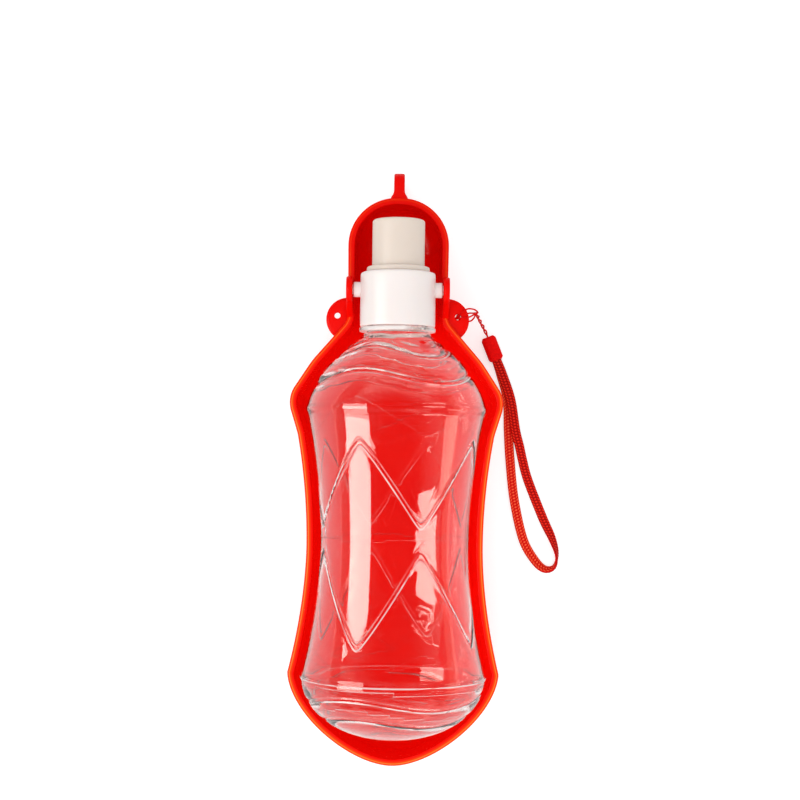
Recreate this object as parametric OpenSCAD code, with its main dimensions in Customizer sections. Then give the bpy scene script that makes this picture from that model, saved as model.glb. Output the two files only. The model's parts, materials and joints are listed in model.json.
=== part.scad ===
// Dog travel water bottle: a clear squeeze bottle that folds into a drinking tray.
//
// The tray lies on its back with its opening up. The bottle lies in it, neck towards +Y.
// Distances called "at" or "reach" run along the bottle from the trunnion axis, towards its base.
// The origin is under the middle of the tray and its belt clip, on the surface they rest on.

/* [Bottle] */
// Radius at the shoulder crease
shoulder_r = 36.7; // [34:0.1:39]
// Shoulder crease, from the trunnion axis
shoulder_at = 49.2; // [46:0.1:54]
// Radius at the waist
waist_r = 30.4; // [28:0.1:33]
// Waist, from the trunnion axis
waist_at = 105.6; // [98:0.1:112]
// How much wider the bottle is at the hip crease than at the shoulder
hip_more = 1; // [-1:0.1:2]
// Hip crease, from the trunnion axis
hip_at = 158.7; // [152:0.1:166]
// Depth of the rounded foot below the hip
foot_h = 25; // [20:0.1:30]
// Radius of the ring that the base stands on
base_ring_r = 10.3; // [8:0.1:13]
// How far the base is pushed in
base_dimple = 1.6; // [0.8:0.1:3]
// Wall of the blown bottle
bottle_wall = 0.8; // [0.6:0.05:1.1]

/* [Neck] */
// Radius of the neck's bore
neck_bore_r = 10.85; // [10:0.05:11.2]
// Radius of the neck outside, under its thread
neck_r = 12.45; // [12.2:0.05:12.9]
// Height of the thread ridges
thread_h = 1.15; // [0.8:0.05:1.4]
// Pitch of the thread
thread_pitch = 3.18; // [3:0.02:3.6]
// Turns of thread on the neck
thread_turns = 1.6; // [1.2:0.1:2]
// Width of the support ring past the cap
support_ring_lip = 0.2; // [0.1:0.05:0.8]
// Thickness of the support ring
support_ring_t = 1.6; // [1.2:0.1:2]
// Gap between cap and support ring
support_ring_gap = 0.5; // [0.3:0.1:1]

/* [Cap] */
// Wall of the cap round the thread
cap_wall = 1.45; // [1.2:0.05:2]
// Height of the cap above the trunnion axis
cap_above = 7; // [6.5:0.1:8.5]
// Skirt of the cap below the trunnion axis
cap_below = 15.2; // [14.5:0.1:17]
// Thickness of the cap's top
cap_top_t = 1.6; // [1.3:0.1:2.2]
// Rounding of the cap's top edge
cap_edge_r = 1.2; // [0.6:0.1:1.4]
// Gap between the two threads, measured across
thread_gap = 0.35; // [0.25:0.05:0.45]
// Thickness of the washer that seals the neck
gasket_t = 1.2; // [0.8:0.1:1.6]

/* [Trunnions] */
// Radius of the trunnion pins
pin_r = 2; // [1.6:0.05:2.4]
// Radius of the boss at each pin's root
boss_r = 3.1; // [2.7:0.1:3.6]
// Length of each boss
boss_len = 2.8; // [2.2:0.1:3.6]
// Running gap between pin and lug, on the radius
pin_gap = 0.06; // [0.04:0.01:0.08]
// Gap between boss and lug
lug_gap = 0.4; // [0.3:0.05:0.7]
// Thickness of each lug
lug_t = 2.6; // [2.2:0.1:3.2]
// Land of the lug round the pin
lug_land = 3.5; // [2.8:0.1:4.2]

/* [Spout] */
// Radius of the pull spout
spout_r = 10.75; // [10.3:0.05:11.3]
// Height of the pull spout
spout_h = 19.2; // [17.5:0.1:20.5]
// How far the spout pulls out
spout_travel = 4.5; // [3:0.1:5]
// Radius of the flange under the spout
flange_r = 12.9; // [12:0.1:13.8]
// Thickness of that flange
flange_t = 2.4; // [2:0.1:3]
// Radius of the tube that the spout slides on
tube_r = 7.4; // [6.8:0.1:7.8]
// Wall of that tube
tube_wall = 1.5; // [1.3:0.1:2]
// Sliding gap between spout and tube
spout_gap = 0.12; // [0.1:0.01:0.2]
// Radius of the outlet in the spout's top
outlet_r = 2.7; // [2.2:0.1:3.2]
// Wall of the spout
spout_wall = 1.5; // [1.2:0.1:1.8]
// Width of the seal ring round the tube
seal_w = 1.6; // [1.2:0.1:2]
// Depth of the seal ring's groove
seal_depth = 0.8; // [0.6:0.05:0.9]
// Step that stops the spout when it is pulled
stop_step = 0.7; // [0.5:0.05:0.75]

/* [Tray] */
// Gap between bottle and tray rim, outside to outside
rim_out = 6.4; // [5.6:0.1:8]
// Width of the rim bead
rim_w = 2.8; // [2.4:0.1:3.4]
// Height of the rim bead
rim_h = 2.6; // [2:0.1:3.4]
// Thickness of the tray's wall
tray_wall = 2; // [1.6:0.1:2.4]
// Thickness of the tray's floor
floor_t = 2.2; // [1.6:0.1:3]
// Gap under the bottle
floor_gap = 1.1; // [0.8:0.1:2.5]
// Rim below the trunnion axis
rim_drop = 11; // [9:0.5:14]
// Gap past the pulled-out spout
tip_gap = 3.7; // [2.5:0.1:6]
// Gap past the bottle's base
foot_gap = 13.6; // [11:0.1:18]
// Rounding of the head's corners, seen from the front
head_corner_r = 20; // [16:0.5:20.5]
// Neck of the tray, from the trunnion axis
notch_at = 11.6; // [9:0.1:13]
// Rounding of that neck
notch_r = 8; // [5:0.5:10]
// Rounding of the shoulder corner
shoulder_corner_r = 12; // [8:0.5:18]
// How far the shoulder corner stands out past the side's line
corner_out = 1.9; // [0:0.1:3]

/* [Ears] */
// Radius of the two ears
ear_r = 9.1; // [8:0.1:10]
// Ear's centre, from the trunnion axis
ear_at = 11.1; // [10:0.1:12]
// Ear's centre, from the middle
ear_out = 20.8; // [20:0.1:22]
// Thickness of the ears
ear_t = 2.2; // [1.8:0.1:3]
// Radius of the lanyard holes
ear_hole_r = 1.25; // [1.1:0.05:1.6]
// Lanyard holes, from the ear's centre outwards
ear_hole_out = 4.4; // [3.5:0.1:5]
// Lanyard holes, from the ear's centre towards the head
ear_hole_up = 1.5; // [0:0.1:2.5]

/* [Belt clip] */
// Width of the clip
clip_w = 4.5; // [3.5:0.1:8]
// Thickness of the clip
clip_t = 3; // [2.4:0.1:3.4]
// Reach of the clip past the rim
clip_reach = 11.2; // [10:0.1:14]
// Length of the clip's tongue under the tray
clip_tongue = 22; // [14:0.5:26]
// Gap between tongue and resting surface
clip_lift = 0.8; // [0.5:0.1:1.2]

/* [Strap] */
// Diameter of the string
string_d = 0.7; // [0.5:0.05:0.75]
// Width of the flat band
band_w = 4.2; // [3.6:0.1:4.6]
// Thickness of the flat band
band_t = 1.3; // [1:0.1:1.5]

/* [Hidden] */
$fn = 64;

fit = 0.1;                  // gap between pieces that are pressed or clipped together
over = 1;                   // how far a cutter reaches past what it cuts
red = [0.85, 0.07, 0.03];
white = [0.95, 0.94, 0.93];
cream = [0.93, 0.88, 0.82];
clear = [0.85, 0.9, 0.92, 0.4];

// Bottle
hip_r = shoulder_r + hip_more;
base_at = hip_at + foot_h;
base_land = 2.2;            // flat width of the ring that the base stands on
base_edge = 0.2;            // bevel inside that ring
ring_edge = 0.4;            // bevel of the support ring
neck_top_at = gasket_t + cap_top_t - cap_above;
support_ring_at = cap_below + support_ring_gap;
shoulder_root_at = support_ring_at + support_ring_t;
shoulder_power = 1.65;      // how square the shoulder's dome is
upper_power = 2;            // how the side falls from shoulder to waist
lower_power = 1.8;          // and from hip to waist
side_steps = 12;            // steps along each of the dome and the two sides

// Cap
thread_r = neck_r + thread_h;
cap_bore_r = thread_r + thread_gap;
cap_r = cap_bore_r + cap_wall;
thread_root_half = 0.32 * thread_pitch;
thread_crest_half = 0.14 * thread_pitch;
spout_hole_r = tube_r + 1.2;

// Spout
flange_top = cap_above + flange_t;
spout_top = flange_top + spout_h;
spout_top_t = 2;
tube_top = spout_top - spout_top_t - fit;
barb = 0.6;                 // snaps the spout's base into the cap
skirt_bore_r = spout_r - spout_wall;
guide_r = tube_r + spout_gap;
guide_wall = 0.8;
guide_h = 10;
stop_lip_t = 1.2;
stop_at = spout_top - spout_top_t - guide_h + stop_lip_t + spout_travel;
seal_at = (stop_at + tube_top) / 2;
plug_r = outlet_r - 0.05;
plug_h = 5;
spoke_w = 1.4;

// Tray, whose neck end turns round the cap and whose floor clears the spout as it swings
head_w = cap_r + boss_len + lug_gap + lug_t;
swing_r = sqrt(pow(spout_top + spout_travel, 2) + pow(spout_r, 2)) + 0.5;
head_reach = spout_top + spout_travel + tip_gap + rim_w;
foot_reach = base_at + foot_gap;
pivot_z = floor_t + max(max(hip_r, shoulder_r) + floor_gap, swing_r);
rim_z = pivot_z - rim_drop;
head_arc_at = -(head_reach - head_w);
foot_power = 1.18;          // how square the foot's corners are, seen from the front
foot_flat = 0.7;            // and how blunt its tip is
floor_share = 0.5;          // half-width of the flat floor, as a share of the rim's
draft_share = 0.96;         // half-width where the wall turns into the floor
draft_depth = 0.45;         // depth of that turn, as a share of the wall's
ramp_len = 26;              // the floor climbs to the head over this length

// Strap: a loop of flat band, a ferrule on the resting surface, and a string through the ear
ferrule_from = [39, 16];    // its string end, as [from the middle, from the trunnion axis]
ferrule_turn = 68;          // its direction, from straight out towards the tray's foot
ferrule_len = 10.8;
ferrule_wall = 1;
slot_w = band_w + 0.3;
slot_h = 2 * band_t + 0.4;
slot_len = 7.3;
ferrule_z = ferrule_wall + slot_h / 2;
string_lead = 4.5;          // the string runs straight for this length on its way in
mouth_gap = 0.5;            // and starts its straight run through the bore this far before it
knot_r = 1.2;
knot_at = ferrule_len - slot_len + knot_r + fit;    // in the slot, past the string's bore

// The band's route: [from the middle, from the trunnion axis, lift, roll]. It leaves the
// ferrule below, turns over at the loop's end and comes back on top.
band_route = [
    [41.4, 21.9, 1.1, 0], [43, 26, 1.1, 0], [45, 32, 0.2, 0], [48, 43, 0, 0], [48.6, 56, 0, 0],
    [49.5, 69, 0, 0], [51.5, 86, 0, 0], [55.5, 103, 0, 8], [60.5, 112, 0, 22], [65, 116, 0, 45],
    [69, 115, 0, 78], [70.2, 110, 0, 105], [68.2, 103, 0, 140], [64, 94, 0, 168],
    [57.5, 78, 0, 180], [55, 69.5, 0.4, 180], [53.4, 63, 1.5, 180], [51.6, 56, 1.5, 180],
    [49.4, 43, 1.5, 180], [45.6, 32, 1.8, 180], [43, 26, 2.5, 180], [41.4, 21.9, 2.5, 180]
];

// The string's two turns round the ear. Each rises outside the ear's edge, runs over the ear to
// its hole and comes back under it. Points are shares of the ear's radius from its centre, and a
// level that is 1 on top of the ear and -1 under it.
string_over = [
    [[1.34, -0.48, -0.65], [1.16, -0.54, 0.58], [0.87, -0.52, 1]],
    [[1.38, -0.38, -0.4], [1.23, -0.3, 0.65], [0.99, -0.17, 1]]
];
string_under = [
    [[0.94, -0.36, -1], [1.19, -0.38, -1.1]],
    [[1.01, 0, -1], [1.23, -0.16, -1.3]]
];
string_passes = [[0, -0.45], [0.1, 0.5]];           // from the hole's centre
string_gap = 0.1;           // from the ear's faces
pair_top = [33.2, 7.4, 23.4];                       // where the two strands start downwards
pair_bend = [34, 8.8, 14];
pair_twists = 3;
pair_r = 0.45;              // from the pair's middle line to each strand's

// Whole object
pivot_y = (foot_reach - head_reach - clip_reach) / 2;

// ---------- shared functions ----------

function mix(a, b, t) = a + (b - a) * t;
function unit(v) = v / norm(v);
function arc_steps(a, b, n) = [for (i = [0:n]) mix(a, b, i / n)];

// Points of a rounded corner at b, between the straight lines from a and to c.
function round_corner(a, b, c, r, n = 8, share = 0.48) =
    let(
        u = unit(a - b),
        v = unit(c - b),
        half = acos(u * v) / 2,
        back = min(r / tan(half), share * min(norm(a - b), norm(c - b))),
        rr = back * tan(half),
        mid = b + unit(u + v) * rr / sin(half),
        from = b + u * back - mid,
        to = b + v * back - mid,
        sweep = 180 - 2 * half
    )
    [for (i = [0:n]) mid + (from * sin(sweep * (1 - i / n)) + to * sin(sweep * i / n)) / sin(sweep)];

// Faces of a stack of rings, each with m points; the two ends are closed by flat polygons.
function tube_faces(rings, m) = concat(
    [[for (j = [m - 1:-1:0]) j]],
    [for (i = [0:rings - 2], j = [0:m - 1])
        let(a = i * m + j, b = i * m + (j + 1) % m)
        [a, b, b + m]],
    [for (i = [0:rings - 2], j = [0:m - 1])
        let(a = i * m + j, b = i * m + (j + 1) % m)
        [a, b + m, a + m]],
    [[for (j = [0:m - 1]) (rings - 1) * m + j]]
);

// ---------- bottle ----------

// Outer radius of the blown body at distance s from the trunnion axis.
function body_r(s) =
    s < shoulder_at
        ? neck_r + (shoulder_r - neck_r)
            * (1 - pow(1 - (s - shoulder_root_at) / (shoulder_at - shoulder_root_at), shoulder_power))
    : s < waist_at
        ? waist_r + (shoulder_r - waist_r)
            * pow((waist_at - s) / (waist_at - shoulder_at), upper_power)
    : s < hip_at
        ? waist_r + (hip_r - waist_r) * pow((s - waist_at) / (hip_at - waist_at), lower_power)
    : hip_r * sqrt(max(0, 1 - pow((s - hip_at) / foot_full, 2)));

// The foot is part of an ellipse that is cut off at the base ring.
foot_full = foot_h / sqrt(1 - pow(base_ring_r / hip_r, 2));

body_stations = concat(
    arc_steps(shoulder_root_at, shoulder_at, side_steps),
    [for (i = [1:side_steps]) mix(shoulder_at, waist_at, i / side_steps)],
    [for (i = [1:side_steps]) mix(waist_at, hip_at, i / side_steps)],
    [for (a = [10:10:80]) hip_at + foot_h * sin(a)],
    [base_at]
);

body_line = [for (s = body_stations) [body_r(s), s]];

// The same line, moved inwards by the wall.
inner_line = [for (i = [1:len(body_line) - 2])
    let(t = unit(body_line[i + 1] - body_line[i - 1])) body_line[i] + bottle_wall * [-t[1], t[0]]];

// The bottle is one blown piece. Its neck, and its body above and below the waist, are nodes of
// their own, because simple open shapes get collision that stays open inside.
waist_i = 2 * side_steps;

neck_profile = [
    [neck_bore_r, neck_top_at], [neck_r, neck_top_at], [neck_r, support_ring_at],
    [cap_r + support_ring_lip, support_ring_at + ring_edge],
    [cap_r + support_ring_lip, shoulder_root_at - ring_edge],
    [neck_r, shoulder_root_at], [neck_bore_r, shoulder_root_at]
];

upper_profile = concat(
    [for (i = [0:waist_i]) body_line[i]],
    [for (i = [waist_i - 1:-1:0]) inner_line[i]],
    [[neck_bore_r, shoulder_root_at]]
);

lower_profile = concat(
    [for (i = [waist_i:len(body_line) - 1]) body_line[i]],
    [
        [base_ring_r - base_land - base_edge, base_at],
        [0, base_at - base_dimple],
        [0, base_at - base_dimple - bottle_wall],
        [base_ring_r - base_land, base_at - bottle_wall]
    ],
    [for (i = [len(inner_line) - 1:-1:waist_i - 1]) inner_line[i]]
);

// A thread ridge round the axis. Its section is a trapezium between two radii, with its
// wide foot sunk into the wall, and its height runs out at both ends.
module thread_ridge(foot_r, crest_r, foot_half, crest_half, turns, start_at, start_turn) {
    steps = 32;
    rings = round(turns * steps);
    function height(i) = min(1, min(i, rings - i) / (steps / 10) + 0.05);
    points = [for (i = [0:rings])
        let(
            a = 360 * (start_turn + i / steps),
            s = start_at + thread_pitch * i / steps,
            r = mix(foot_r, crest_r, height(i)),
            w = mix(foot_half, crest_half, height(i))
        )
        each [for (p = [[foot_r, -foot_half], [r, -w], [r, w], [foot_r, foot_half]])
            [p[0] * cos(a), p[0] * sin(a), s + p[1]]]];
    polyhedron(points, crest_r > foot_r ? tube_faces(rings + 1, 4)
        : [for (f = tube_faces(rings + 1, 4)) [for (k = [len(f) - 1:-1:0]) f[k]]], convexity = 8);
}

// Puts a piece drawn along +Z, away from the trunnion axis, onto the bottle's axis.
module along_bottle() {
    translate([0, pivot_y, pivot_z]) rotate([90, 0, 0]) children();
}

// The same for pieces drawn along +Z towards the head.
module along_spout() {
    translate([0, pivot_y, pivot_z]) rotate([-90, 0, 0]) children();
}

male_start_at = neck_top_at + 2.4;

module bottle_neck() {
    color(clear) along_bottle() {
        rotate_extrude() polygon(neck_profile);
        thread_ridge(neck_r - 0.3, thread_r, thread_root_half + 0.1, thread_crest_half,
            thread_turns, male_start_at, 0);
    }
}

module bottle_upper() {
    color(clear) along_bottle() rotate_extrude() polygon(upper_profile);
}

module bottle_lower() {
    color(clear) along_bottle() rotate_extrude() polygon(lower_profile);
}

// ---------- cap ----------

module neck_gasket() {
    color(cream) along_bottle()
        translate([0, 0, cap_top_t - cap_above])
            difference() {
                cylinder(r = neck_r + 0.05, h = gasket_t);
                translate([0, 0, -over]) cylinder(r = neck_bore_r - 0.4, h = gasket_t + 2 * over);
            }
}

module screw_cap() {
    color(white) {
        along_bottle() {
            rotate_extrude() polygon(concat(
                [[spout_hole_r, -cap_above]],
                [for (a = [0:15:90]) [cap_r - cap_edge_r * (1 - sin(a)), -cap_above + cap_edge_r * (1 - cos(a))]],
                [[cap_r, cap_below], [cap_bore_r, cap_below], [cap_bore_r, cap_top_t - cap_above],
                 [spout_hole_r, cap_top_t - cap_above]]
            ));
            thread_ridge(cap_bore_r + 0.4, thread_r - thread_h + 0.3, thread_root_half + 0.1,
                thread_crest_half - 0.1, thread_turns - 0.1, male_start_at + thread_pitch / 2, 0);
        }
        for (side = [-1, 1])
            translate([side * (cap_bore_r + cap_wall / 2), pivot_y, pivot_z]) rotate([0, side * 90, 0]) {
                cylinder(r = boss_r, h = cap_wall / 2 + boss_len);
                cylinder(r = pin_r, h = cap_wall / 2 + boss_len + lug_gap + lug_t);
            }
    }
}

// ---------- spout ----------

module spout_base() {
    barb_top = cap_above - cap_top_t;
    color(cream) along_spout() {
        rotate_extrude() polygon([
            [tube_r - tube_wall, barb_top - 1.6],
            [spout_hole_r - fit, barb_top - 1.6],
            [spout_hole_r + barb, barb_top - 0.6],
            [spout_hole_r + barb, barb_top],
            [spout_hole_r - fit, barb_top],
            [spout_hole_r - fit, cap_above],
            [flange_r, cap_above],
            [flange_r, flange_top - 1],
            [flange_r - 0.8, flange_top - fit],
            [tube_r - stop_step, flange_top - fit],
            [tube_r - stop_step, stop_at],
            [tube_r, stop_at],
            [tube_r, seal_at - seal_w / 2],
            [tube_r - seal_depth, seal_at - seal_w / 2],
            [tube_r - seal_depth, seal_at + seal_w / 2],
            [tube_r, seal_at + seal_w / 2],
            [tube_r, tube_top - 0.5],
            [tube_r - 0.5, tube_top],
            [tube_r - tube_wall, tube_top]
        ]);
        // The plug that shuts the outlet, on three spokes
        translate([0, 0, tube_top - plug_h]) {
            cylinder(r = plug_r, h = plug_h + spout_top_t);
            for (a = [0:120:240])
                rotate([0, 0, a]) translate([0, -spoke_w / 2, 0]) cube([tube_r - tube_wall + 0.3, spoke_w, 3]);
        }
    }
}

module spout_seal() {
    color("dimgray") along_spout() translate([0, 0, seal_at]) rotate_extrude()
        translate([tube_r - seal_depth, -seal_w / 2 + 0.05])
            square([seal_depth + spout_gap - 0.02, seal_w - 0.1]);
}

module pull_spout() {
    plate = spout_top - spout_top_t;
    lip_r = tube_r - stop_step + spout_gap;
    color(cream) along_spout() rotate_extrude() polygon([
        [outlet_r, plate],
        [guide_r, plate],
        [guide_r, plate - guide_h + stop_lip_t],
        [lip_r, plate - guide_h + stop_lip_t],
        [lip_r, plate - guide_h],
        [guide_r + guide_wall, plate - guide_h],
        [guide_r + guide_wall, plate],
        [skirt_bore_r, plate],
        [skirt_bore_r, flange_top],
        [spout_r, flange_top],
        [spout_r, spout_top - 1],
        [spout_r - 0.3, spout_top - 0.3],
        [spout_r - 1, spout_top],
        [outlet_r + 0.5, spout_top],
        [outlet_r, spout_top - 0.5]
    ]);
}

// ---------- tray ----------

// Half of the rim's outline, from the middle of the head to the middle of the foot, as
// [half-width, distance from the trunnion axis].
side_from = shoulder_at + 10;
side_slope = (body_r(side_from) - body_r(side_from + 1));
corner_at = shoulder_at - 5;
corner = [body_r(side_from) + rim_out + corner_out + side_slope * (side_from - corner_at), corner_at];
notch = [head_w - 0.5, notch_at];
knee = [mix(notch[0], corner[0], 0.59), mix(notch[1], corner[1], 0.52)];
head_corner = [head_w, -head_reach];
side_start = [body_r(side_from) + rim_out, side_from];

half_outline = concat(
    round_corner([0, -head_reach], head_corner, notch, head_corner_r, 12, 0.96),
    [for (i = [1:6]) mix(head_corner, notch, mix(0.42, 0.98, i / 7))],
    round_corner(head_corner, notch, knee, notch_r, 5),
    round_corner(notch, knee, corner, 40, 2),
    round_corner(knee, corner, side_start, shoulder_corner_r, 6),
    [for (i = [0:9]) let(s = mix(side_from, waist_at, i / 9)) [body_r(s) + rim_out, s]],
    [for (i = [1:9]) let(s = mix(waist_at, hip_at, i / 9)) [body_r(min(s, hip_at - 0.01)) + rim_out, s]],
    [for (a = [9:9:81])
        [(hip_r + rim_out) * cos(a) * mix(foot_flat, 1, cos(a)),
         hip_at + (foot_reach - hip_at) * pow(sin(a), foot_power)]],
    [[(hip_r + rim_out) * 0.025, foot_reach]]
);
half_n = len(half_outline);

// Outward normal of the half outline at point i.
function rim_normal(i) =
    let(
        a = i > 0 ? half_outline[i - 1] : [-half_outline[0][0], half_outline[0][1]],
        b = i < half_n - 1 ? half_outline[i + 1]
            : [-half_outline[half_n - 1][0], half_outline[half_n - 1][1]],
        t = unit(b - a)
    )
    [t[1], -t[0]];
rim_normals = [for (i = [0:half_n - 1]) rim_normal(i)];

// Outline moved inwards by t.
function inset(i, t) = half_outline[i] - t * rim_normals[i];

// The point on the middle line that the wall leans towards.
function spine_at(i) = max(head_arc_at, min(hip_at, half_outline[i][1]));

// Height of the tray's underside over the resting surface.
function floor_z(s) =
    let(at_pivot = pivot_z - swing_r - floor_t)
    s > ramp_len ? 0
    : s > 0 ? at_pivot * pow(1 - s / ramp_len, 2)
    : at_pivot + swing_r - sqrt(pow(swing_r, 2) - s * s);

// One point of the shell: inset t, share f of the way out from the spine, depth share d.
function shell_point(i, t, f, d, lift, drop) =
    let(p = inset(i, t), s = spine_at(i), low = floor_z(s) + lift, top = rim_z - drop)
    [p[0] * f, mix(s, p[1], f), mix(top, low, d)];

// The wall's shape, as [share out from the spine, share of the depth].
wall_steps = concat(
    [[mix(1, draft_share, 0.5), draft_depth / 2]],
    [for (a = [0:18:90])
        [mix(floor_share, draft_share, cos(a)), mix(draft_depth, 1, sin(a))]]
);

// The rim's section, as [inset, drop], from the inside to the outside.
rim_steps = [
    [rim_w, 1.1], [rim_w - 0.35, 0.35], [rim_w - 1, 0], [1, 0], [0.35, 0.35], [0, 1.1],
    [0, rim_h - 0.3], [rim_w - tray_wall, rim_h]
];

// The tray's section, as [inset, share out, depth share, floor lift, rim drop].
section = concat(
    [for (k = [len(wall_steps) - 1:-1:0]) [rim_w, wall_steps[k][0], wall_steps[k][1], floor_t, 1.1]],
    [for (r = rim_steps) [r[0], 1, 0, 0, r[1]]],
    [for (w = wall_steps) [rim_w - tray_wall, w[0], w[1], 0, rim_h]]
);
section_n = len(section);
loop_n = 2 * half_n;

// Ring k of the shell: down the right side, then back up the left.
function shell_ring(k) =
    let(c = section[k], right = [for (i = [0:half_n - 1]) shell_point(i, c[0], c[1], c[2], c[3], c[4])])
    concat(right, [for (i = [half_n - 1:-1:0]) [-right[i][0], right[i][1], right[i][2]]]);

// Points before this one lie on the ramp up to the head.
flat_from = len([for (p = half_outline) if (p[1] <= ramp_len) p]);

// Closes a ring across: strips on the ramp, one flat polygon for the rest.
function floor_faces(ring, up) =
    let(
        b = ring * loop_n,
        strips = [for (i = [0:flat_from - 1])
            each [[b + i, b + i + 1, b + loop_n - 1 - i], [b + i + 1, b + loop_n - 2 - i, b + loop_n - 1 - i]]],
        flat = [for (i = [flat_from:loop_n - 1 - flat_from]) b + i],
        all = concat(strips, [flat])
    )
    up ? all : [for (f = all) [for (k = [len(f) - 1:-1:0]) f[k]]];

module tray() {
    points = [for (k = [0:section_n - 1]) each shell_ring(k)];
    walls = [for (k = [0:section_n - 2], j = [0:loop_n - 1])
        let(a = k * loop_n + j, b = k * loop_n + (j + 1) % loop_n)
        each [[a, b + loop_n, a + loop_n], [a, b, b + loop_n]]];
    color(red) in_tray()
        polyhedron(points, concat(walls, floor_faces(0, false), floor_faces(section_n - 1, true)),
            convexity = 12);
}

// Lays a piece drawn as [across, along the bottle, height] into the model.
module in_tray() {
    translate([0, pivot_y, 0]) mirror([0, 1, 0]) children();
}

// How many points of the half outline lie before distance s.
function points_before(s) = len([for (p = half_outline) if (p[1] <= s) p]);

// A length of the rim with the upper wall under it, between two points of the whole outline. What
// stands against the tray is cut by it, so that the two meet face to face.
module rim_length(from, to) {
    first = len(wall_steps) - 2;
    rows = [for (k = [first:section_n - 1 - first]) shell_ring(k)];
    m = len(rows);
    points = [for (j = [from:to]) each [for (r = rows) r[(j + loop_n) % loop_n]]];
    end = (to - from) * m;
    cap = [for (q = [0:m / 2 - 2]) each [[q, m - 2 - q, m - 1 - q], [q, q + 1, m - 2 - q]]];
    sides = [for (f = tube_faces(to - from + 1, m)) if (len(f) == 3) [f[2], f[1], f[0]]];
    polyhedron(points, concat(
        sides, cap, [for (f = cap) [f[2] + end, f[1] + end, f[0] + end]]
    ), convexity = 6);
}

// The same beside the trunnions and ears, on the right or on the left.
module rim_beside(side) {
    from = points_before(-2 * ear_r);
    to = points_before(ear_at + 2 * ear_r);
    if (side > 0) rim_length(from, to);
    else rim_length(loop_n - 1 - to, loop_n - 1 - from);
}

module trunnion_lug(side) {
    top = lug_land + pin_r;
    foot_z = rim_z - rim_h / 2;
    x = side > 0 ? head_w - lug_t : -head_w;
    color(red) in_tray() difference() {
        translate([x, 0, 0]) rotate([90, 0, 90]) union() {
            translate([0, pivot_z, 0]) cylinder(r = top, h = lug_t);
            linear_extrude(lug_t)
                polygon([[-top, foot_z], [-top, pivot_z], [top, pivot_z], [notch_at, foot_z]]);
        }
        translate([x - over, 0, pivot_z]) rotate([0, 90, 0])
            cylinder(r = pin_r + pin_gap, h = lug_t + 2 * over);
        rim_beside(side);
    }
}

module ear(side) {
    top = rim_z - rim_h;
    // The line inside the wall's thickness where the round plate stops
    inside = [for (i = [points_before(-2 * ear_r):points_before(ear_at + 2 * ear_r)])
        let(p = inset(i, rim_w - tray_wall / 2)) [side * p[0], p[1]]];
    color(red) in_tray() difference() {
        translate([0, 0, top - ear_t]) linear_extrude(ear_t) difference() {
            translate([side * ear_out, ear_at]) circle(r = ear_r);
            polygon(concat(inside, [[0, inside[len(inside) - 1][1]], [0, inside[0][1]]]));
        }
        translate([side * (ear_out + ear_hole_out), ear_at - ear_hole_up, top - ear_t - over])
            cylinder(r = ear_hole_r, h = ear_t + 2 * over);
        rim_beside(side);
    }
}

// Middle line of the belt clip, as [distance from the trunnion axis, height].
clip_bend_r = 5;
clip_top = rim_z - rim_h / 2 - clip_t / 2;
clip_low = clip_lift + clip_t / 2;
clip_far = -(head_reach + clip_reach - clip_t / 2);
clip_tip = clip_far + clip_bend_r + clip_tongue;
clip_line = concat(
    [[-(head_reach - rim_w / 2), clip_top]],
    [for (a = [0:15:90])
        [clip_far + clip_bend_r - clip_bend_r * sin(a), clip_top - clip_bend_r * (1 - cos(a))]],
    [for (a = [0:15:90])
        [clip_far + clip_bend_r * (1 - cos(a)), clip_low + clip_bend_r * (1 - sin(a))]],
    [[clip_tip, clip_low]]
);

function clip_side(out) = [for (i = [0:len(clip_line) - 1])
    let(
        a = clip_line[max(0, i - 1)],
        b = clip_line[min(len(clip_line) - 1, i + 1)],
        t = unit(b - a)
    )
    clip_line[i] + out * clip_t / 2 * [-t[1], t[0]]];

module belt_clip() {
    inner = clip_side(-1);
    color(red) in_tray() difference() {
        translate([-clip_w / 2, 0, 0]) rotate([90, 0, 90]) union() {
            linear_extrude(clip_w)
                polygon(concat(clip_side(1), [for (i = [len(inner) - 1:-1:0]) inner[i]]));
            translate([clip_tip, clip_low, 0]) cylinder(d = clip_t, h = clip_w);
        }
        rim_length(-6, 5);
    }
}

// ---------- strap ----------

// A smooth line through hand-set points, with n steps from each to the next.
function smooth(p, n) = concat(
    [for (i = [0:len(p) - 2], k = [0:n - 1])
        let(
            a = p[max(0, i - 1)],
            b = p[i],
            c = p[i + 1],
            d = p[min(len(p) - 1, i + 2)],
            u = k / n
        )
        0.5 * (2 * b + (c - a) * u + (2 * a - 5 * b + 4 * c - d) * u * u
            + (3 * b - a - 3 * c + d) * u * u * u)],
    [p[len(p) - 1]]
);

function first3(p) = [p[0], p[1], p[2]];
function along(path, i) = unit(first3(path[min(len(path) - 1, i + 1)]) - first3(path[max(0, i - 1)]));

// Side vectors carried along a path without twist.
function carried(path, side, i = 0) = i == len(path) ? []
    : let(t = along(path, i), s = unit(side - (side * t) * t))
        concat([s], carried(path, s, i + 1));

// A solid with one section all along a path.
module swept(path, sides, section) {
    points = [for (i = [0:len(path) - 1])
        let(up = cross(sides[i], along(path, i)))
        each [for (q = section) first3(path[i]) + q[0] * sides[i] + q[1] * up]];
    polyhedron(points, tube_faces(len(path), len(section)), convexity = 10);
}

// Height of the band's middle when its low edge lies on the surface.
function band_z(roll) = band_w / 2 * abs(sin(roll)) + band_t / 2 * abs(cos(roll)) + 0.02;

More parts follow.
